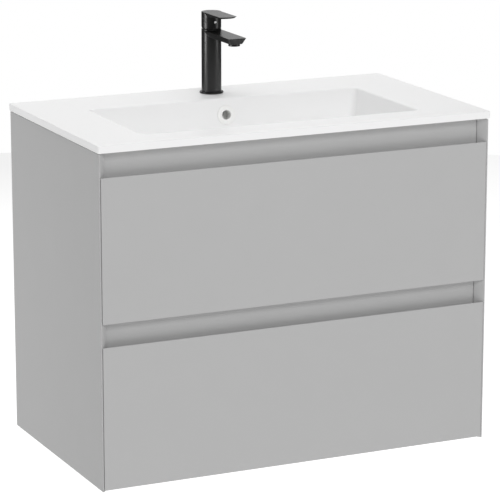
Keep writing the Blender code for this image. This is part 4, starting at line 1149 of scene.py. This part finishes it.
# %% [markdown]
# ### Bottle trap
# The trap is moulded in white plastic. Water goes down into the bottle, up and out to the side, so
# a plug of water stays and keeps smells back. Its nuts and its cup have ribs for the fingers. They
# are turned with many sides, and every other strip of the side is pressed in.

# %% Trap body
trap_low, trap_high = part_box("trap_body")
NECK_FOOT = WASTE_FOOT - 26 * MM
BOTTLE, WALL, PIPE = 30 * MM, 3 * MM, 16 * MM
OUTLET_Z = NECK_FOOT - 34 * MM
OUTLET_MOUTH = DRAIN_Y + 52 * MM
shoulder = NECK_FOOT - 2 * WALL
bottle = turned("trap_bottle",
                [(WASTE_BORE, trap_high.z), (WASTE_TUBE, trap_high.z)]
                + thread(WASTE_TUBE, NECK_FOOT + 24 * MM, NECK_FOOT + 5 * MM)
                + [(WASTE_TUBE, NECK_FOOT), (BOTTLE - 4 * MM, NECK_FOOT - 1.6 * MM),
                   (BOTTLE - 1.2 * MM, NECK_FOOT - 3.6 * MM), (BOTTLE, shoulder), (BOTTLE, trap_low.z),
                   (BOTTLE - WALL, trap_low.z), (BOTTLE - WALL, shoulder - WALL),
                   (WASTE_BORE, NECK_FOOT - WALL)],
                drain_at, hollow=True)
spout_length = OUTLET_MOUTH - (DRAIN_Y + BOTTLE - WALL / 2)
join_shapes(bottle, turned("outlet", [(PIPE, 0), (PIPE, spout_length)],
                           (0, DRAIN_Y + BOTTLE - WALL / 2, OUTLET_Z), (0, 1, 0), 64), "UNION")
round_hole(bottle, (0, OUTLET_MOUTH, OUTLET_Z), (0, 1, 0), 28 * MM, 2 * (52 - 20) * MM, 64)
soften(bottle, 0)
wear(bottle, "trap_body", plastic)
print("bottle", len(bottle.data.polygons), "faces")

# %% Trap cup
cup_low, cup_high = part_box("trap_cup")
KNURL = (cup_high.x - cup_low.x) / 2
bend = cup_high.z - 0.65 * (cup_high.z - cup_low.z)
cup = turned("trap_cup_ribbed",
             [(BOTTLE - WALL, cup_high.z), (KNURL - 0.8 * MM, cup_high.z),
              (KNURL, cup_high.z - 0.8 * MM), (KNURL, bend),
              (BOTTLE - 2 * MM, cup_low.z + 2.4 * MM), (BOTTLE - 6 * MM, cup_low.z), (0.5 * MM, cup_low.z),
              (0.5 * MM, cup_low.z + WALL), (BOTTLE - 7 * MM, cup_low.z + WALL), (BOTTLE - WALL, bend)],
             drain_at, hollow=True, sides=120)
rib(cup, Vector((0, DRAIN_Y, 0)), 2, KNURL, 30, bend - MM, cup_high.z, 0.965)
soften(cup, 0)
wear(cup, "trap_cup", plastic)
print("cup", len(cup.data.polygons), "faces")


# %% Trap nuts
def ribbed_nut(name, new_name, bore, facing, ribs=24):
    """A finger nut along Z or Y, with ribs that stop short of both ends."""
    low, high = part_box(name)
    axis = 2 if facing[2] else 1
    radius, height = (high.x - low.x) / 2, high[axis] - low[axis]
    start = Vector((low + high) / 2)
    start[axis] = low[axis]
    edge = 1 * MM
    obj = turned(new_name, [(bore / 2, 0), (radius - 2 * edge, 0), (radius - edge, 0.3 * edge),
                            (radius, edge), (radius, height - edge), (radius - edge, height - 0.3 * edge),
                            (radius - 2 * edge, height), (bore / 2, height)],
                 start, facing, sides=4 * ribs, hollow=True)
    rib(obj, start, axis, radius, ribs, 0.5 * edge, height - 0.5 * edge, 0.94)
    soften(obj, 0)
    return wear(obj, name, plastic)


ribbed_nut("trap_neck_nut", "trap_upper_nut", 40.6 * MM, (0, 0, 1))
ribbed_nut("trap_outlet_nut", "trap_side_nut", 32.6 * MM, (0, 1, 0))

# %% Pipe and cover plate
pipe_low, pipe_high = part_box("trap_pipe")
pipe = turned("trap_wall_pipe",
              [(PIPE - 2 * MM, 0), (PIPE - 0.5 * MM, 0), (PIPE, 0.5 * MM), (PIPE, pipe_high.y - pipe_low.y),
               (PIPE - 2 * MM, pipe_high.y - pipe_low.y)],
              (0, pipe_low.y, OUTLET_Z), (0, 1, 0), hollow=True)
soften(pipe, 0)
wear(pipe, "trap_pipe", plastic)

ROSE, ROSE_DEEP, ROSE_BORE = 37 * MM, 9.7 * MM, PIPE + 0.3 * MM
shell = [(ROSE, ROSE_DEEP), (ROSE, 8.8 * MM), (ROSE - 1 * MM, 7.4 * MM), (31 * MM, 3.6 * MM),
         (25 * MM, 1.0 * MM), (21 * MM, 0), (ROSE_BORE, 0)]
rose = turned("wall_cover_plate",
              shell + [(ROSE_BORE, 1 * MM), (21 * MM, 1 * MM), (25 * MM, 2.1 * MM), (30.4 * MM, 4.6 * MM),
                       (ROSE - 2 * MM, 8.2 * MM), (ROSE - 1.1 * MM, ROSE_DEEP)],
              (0, -10 * MM, OUTLET_Z), (0, 1, 0), hollow=True)
soften(rose, 0)
wear(rose, "wall_rosette", chrome)
print("cover plate", round(2 * ROSE / MM), "mm wide")

# %% [markdown]
# ### Overflow elbow and hose
# Behind the overflow's ring sits a cup with a stub, and a corrugated hose carries the water down
# to the waste. The hose is a turned tube of ridges 3.2 mm apart, made straight, and a Curve
# modifier lays it along its route.

# %% Elbow
elbow_low, elbow_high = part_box("overflow_elbow")
CUP_WIDE, CUP_DEEP, STUB = 17 * MM, 18 * MM, 8 * MM
cup_start = OVERFLOW_AT - WALL_OUT * (BOWL_WALL + 1.5 * MM + CUP_DEEP)
cup_middle = cup_start + WALL_OUT * CUP_DEEP / 2
elbow = turned("overflow_cup",
               [(CUP_WIDE - 2 * MM, 0), (CUP_WIDE - 0.6 * MM, 0.6 * MM), (CUP_WIDE, 2 * MM),
                (CUP_WIDE, CUP_DEEP - 0.5 * MM), (CUP_WIDE - 0.5 * MM, CUP_DEEP)], cup_start, WALL_OUT, 72)
join_shapes(elbow, turned("stub", [(STUB - 0.6 * MM, 0), (STUB, 1.2 * MM), (STUB, 34 * MM)],
                          cup_middle - Vector((0, 0, 34 * MM)), (0, 0, 1), 48), "UNION")
round_hole(elbow, cup_start + WALL_OUT * (CUP_DEEP / 2 + 4 * MM), WALL_OUT, 26.5 * MM, CUP_DEEP, 48)
round_hole(elbow, cup_middle - Vector((0, 0, 18 * MM)), (0, 0, 1), 11 * MM, 36 * MM, 40)
soften(elbow, 0)
wear(elbow, "overflow_elbow", plastic)
print("elbow", len(elbow.data.polygons), "faces")

# %% Hose
RIDGE, HOSE, HOSE_SAG, HOSE_RUN = 3.2 * MM, 8 * MM, 0.85, 85 * MM
hose_top = cup_middle - Vector((0, 0, 34.3 * MM))
hose_end = Vector((0, DRAIN_Y + 30 * MM, PORT_Z))
drop = Vector((0, 0, hose_top.z - hose_end.z))
bpy.ops.object.select_all(action="DESELECT")
bpy.ops.curve.primitive_bezier_curve_add(location=(0, 0, 0))
route = bpy.context.object
route.name, route.data.dimensions, route.data.resolution_u = "hose_route", "3D", 64
first, last = route.data.splines[0].bezier_points
for point, place, back, ahead in (
        (first, hose_top, hose_top + drop * 0.2, hose_top - HOSE_SAG * drop),
        (last, hose_end, hose_end + Vector((0, HOSE_RUN, 0)), hose_end - Vector((0, 20 * MM, 0)))):
    point.handle_left_type = point.handle_right_type = "FREE"
    point.co, point.handle_left, point.handle_right = place, back, ahead
hose_length = route.data.splines[0].calc_length()
ridges = int(hose_length / RIDGE) - 2
step = (hose_length - 2 * RIDGE) / ridges
rings = [(HOSE - 1.3 * MM, 0), (HOSE - 1.3 * MM, RIDGE)]
for turn in range(ridges):
    start = RIDGE + turn * step
    rings += [(HOSE - 1.3 * MM, start + 0.25 * step), (HOSE - 0.1 * MM, start + 0.45 * step),
              (HOSE - 0.1 * MM, start + 0.75 * step), (HOSE - 1.3 * MM, start + 0.95 * step)]
rings += [(HOSE - 1.3 * MM, hose_length - 0.2 * MM)]
hose = turned("overflow_corrugated_hose", rings, (0, 0, 0), (1, 0, 0), sides=28)
bend = hose.modifiers.new("route", "CURVE")
bend.object, bend.deform_axis = route, "POS_X"
apply_modifiers(hose)
bpy.data.objects.remove(route, do_unlink=True)
soften(hose, 0)
wear(hose, "overflow_hose", plastic)
print("hose", round(hose_length / MM), "mm long,", ridges, "ridges")

# %% [markdown]
# ### Tap fixing and cartridge
# Under the deck the tap's threaded shank carries a rubber washer and a brass nut. Inside the
# pillar is the ceramic-disc cartridge, whose spindle the handle turns.

# %% Tap fixing
shank_low, shank_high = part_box("tap_shank")
shank = turned("tap_threaded_shank",
               [(12 * MM, shank_high.z), (16 * MM, shank_high.z)]
               + thread(16 * MM, DECK - SLAB - 1 * MM, shank_low.z + 1.5 * MM)
               + [(15.2 * MM, shank_low.z), (12 * MM, shank_low.z)], (0, TAP_Y, 0), hollow=True)
soften(shank, 0)
wear(shank, "tap_shank", brass)
plain_ring("tap_washer", "tap_rubber_washer", 32.6 * MM, rubber)
hex_nut("tap_nut", "tap_clamp_nut", 32.6 * MM, brass)

# %% Cartridge and its spindle
CART, CART_WAIST, CART_BORE = 14.3 * MM, 13.8 * MM, 8.5 * MM
PIN, PIN_NECK = 8.2 * MM, 4.5 * MM
cart_low, cart_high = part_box("tap_cartridge")
cart = turned("ceramic_cartridge",
              [(CART_BORE, cart_high.z), (CART - 0.6 * MM, cart_high.z), (CART, cart_high.z - 0.6 * MM),
               (CART, cart_high.z - 6 * MM), (CART_WAIST, cart_high.z - 6.5 * MM),
               (CART_WAIST, cart_low.z + 3 * MM), (CART, cart_low.z + 2.5 * MM), (CART, cart_low.z),
               (CART_BORE, cart_low.z)], (0, TAP_Y, 0), hollow=True, sides=72)
soften(cart, 0)
wear(cart, "tap_cartridge", plastic)
pin_low, pin_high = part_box("cartridge_spindle")
neck_top = cart_high.z
pin = turned("cartridge_pin",
             [(PIN, pin_low.z), (PIN, neck_top - 3 * MM), (PIN - 0.6 * MM, neck_top - 1.6 * MM),
              (PIN_NECK, neck_top + 0.6 * MM), (PIN_NECK, pin_high.z - 0.8 * MM),
              (PIN_NECK - 0.8 * MM, pin_high.z)],
             (0, TAP_Y, 0), sides=48)
soften(pin, 0)
wear(pin, "cartridge_spindle", brass)
print("cartridge between", round(cart_low.z / MM), "and", round(cart_high.z / MM), "mm")

# %% [markdown]
# ## Flags for the strips
# The two strips are there for the tap's streaks, so they light only the tap's black pieces and its
# dot, and only these shade each other. The streaks then run the full height of the pillar.

# %% Strips light the tap only
tap_group = bpy.data.collections.new("tap_pieces")
for obj in bpy.data.objects:
    if obj.type == "MESH" and {black_coat.name, satin.name} & set(obj.data.materials.keys()):
        tap_group.objects.link(obj)
for strip in (left_strip, right_strip):
    strip.light_linking.receiver_collection = tap_group
    strip.light_linking.blocker_collection = tap_group
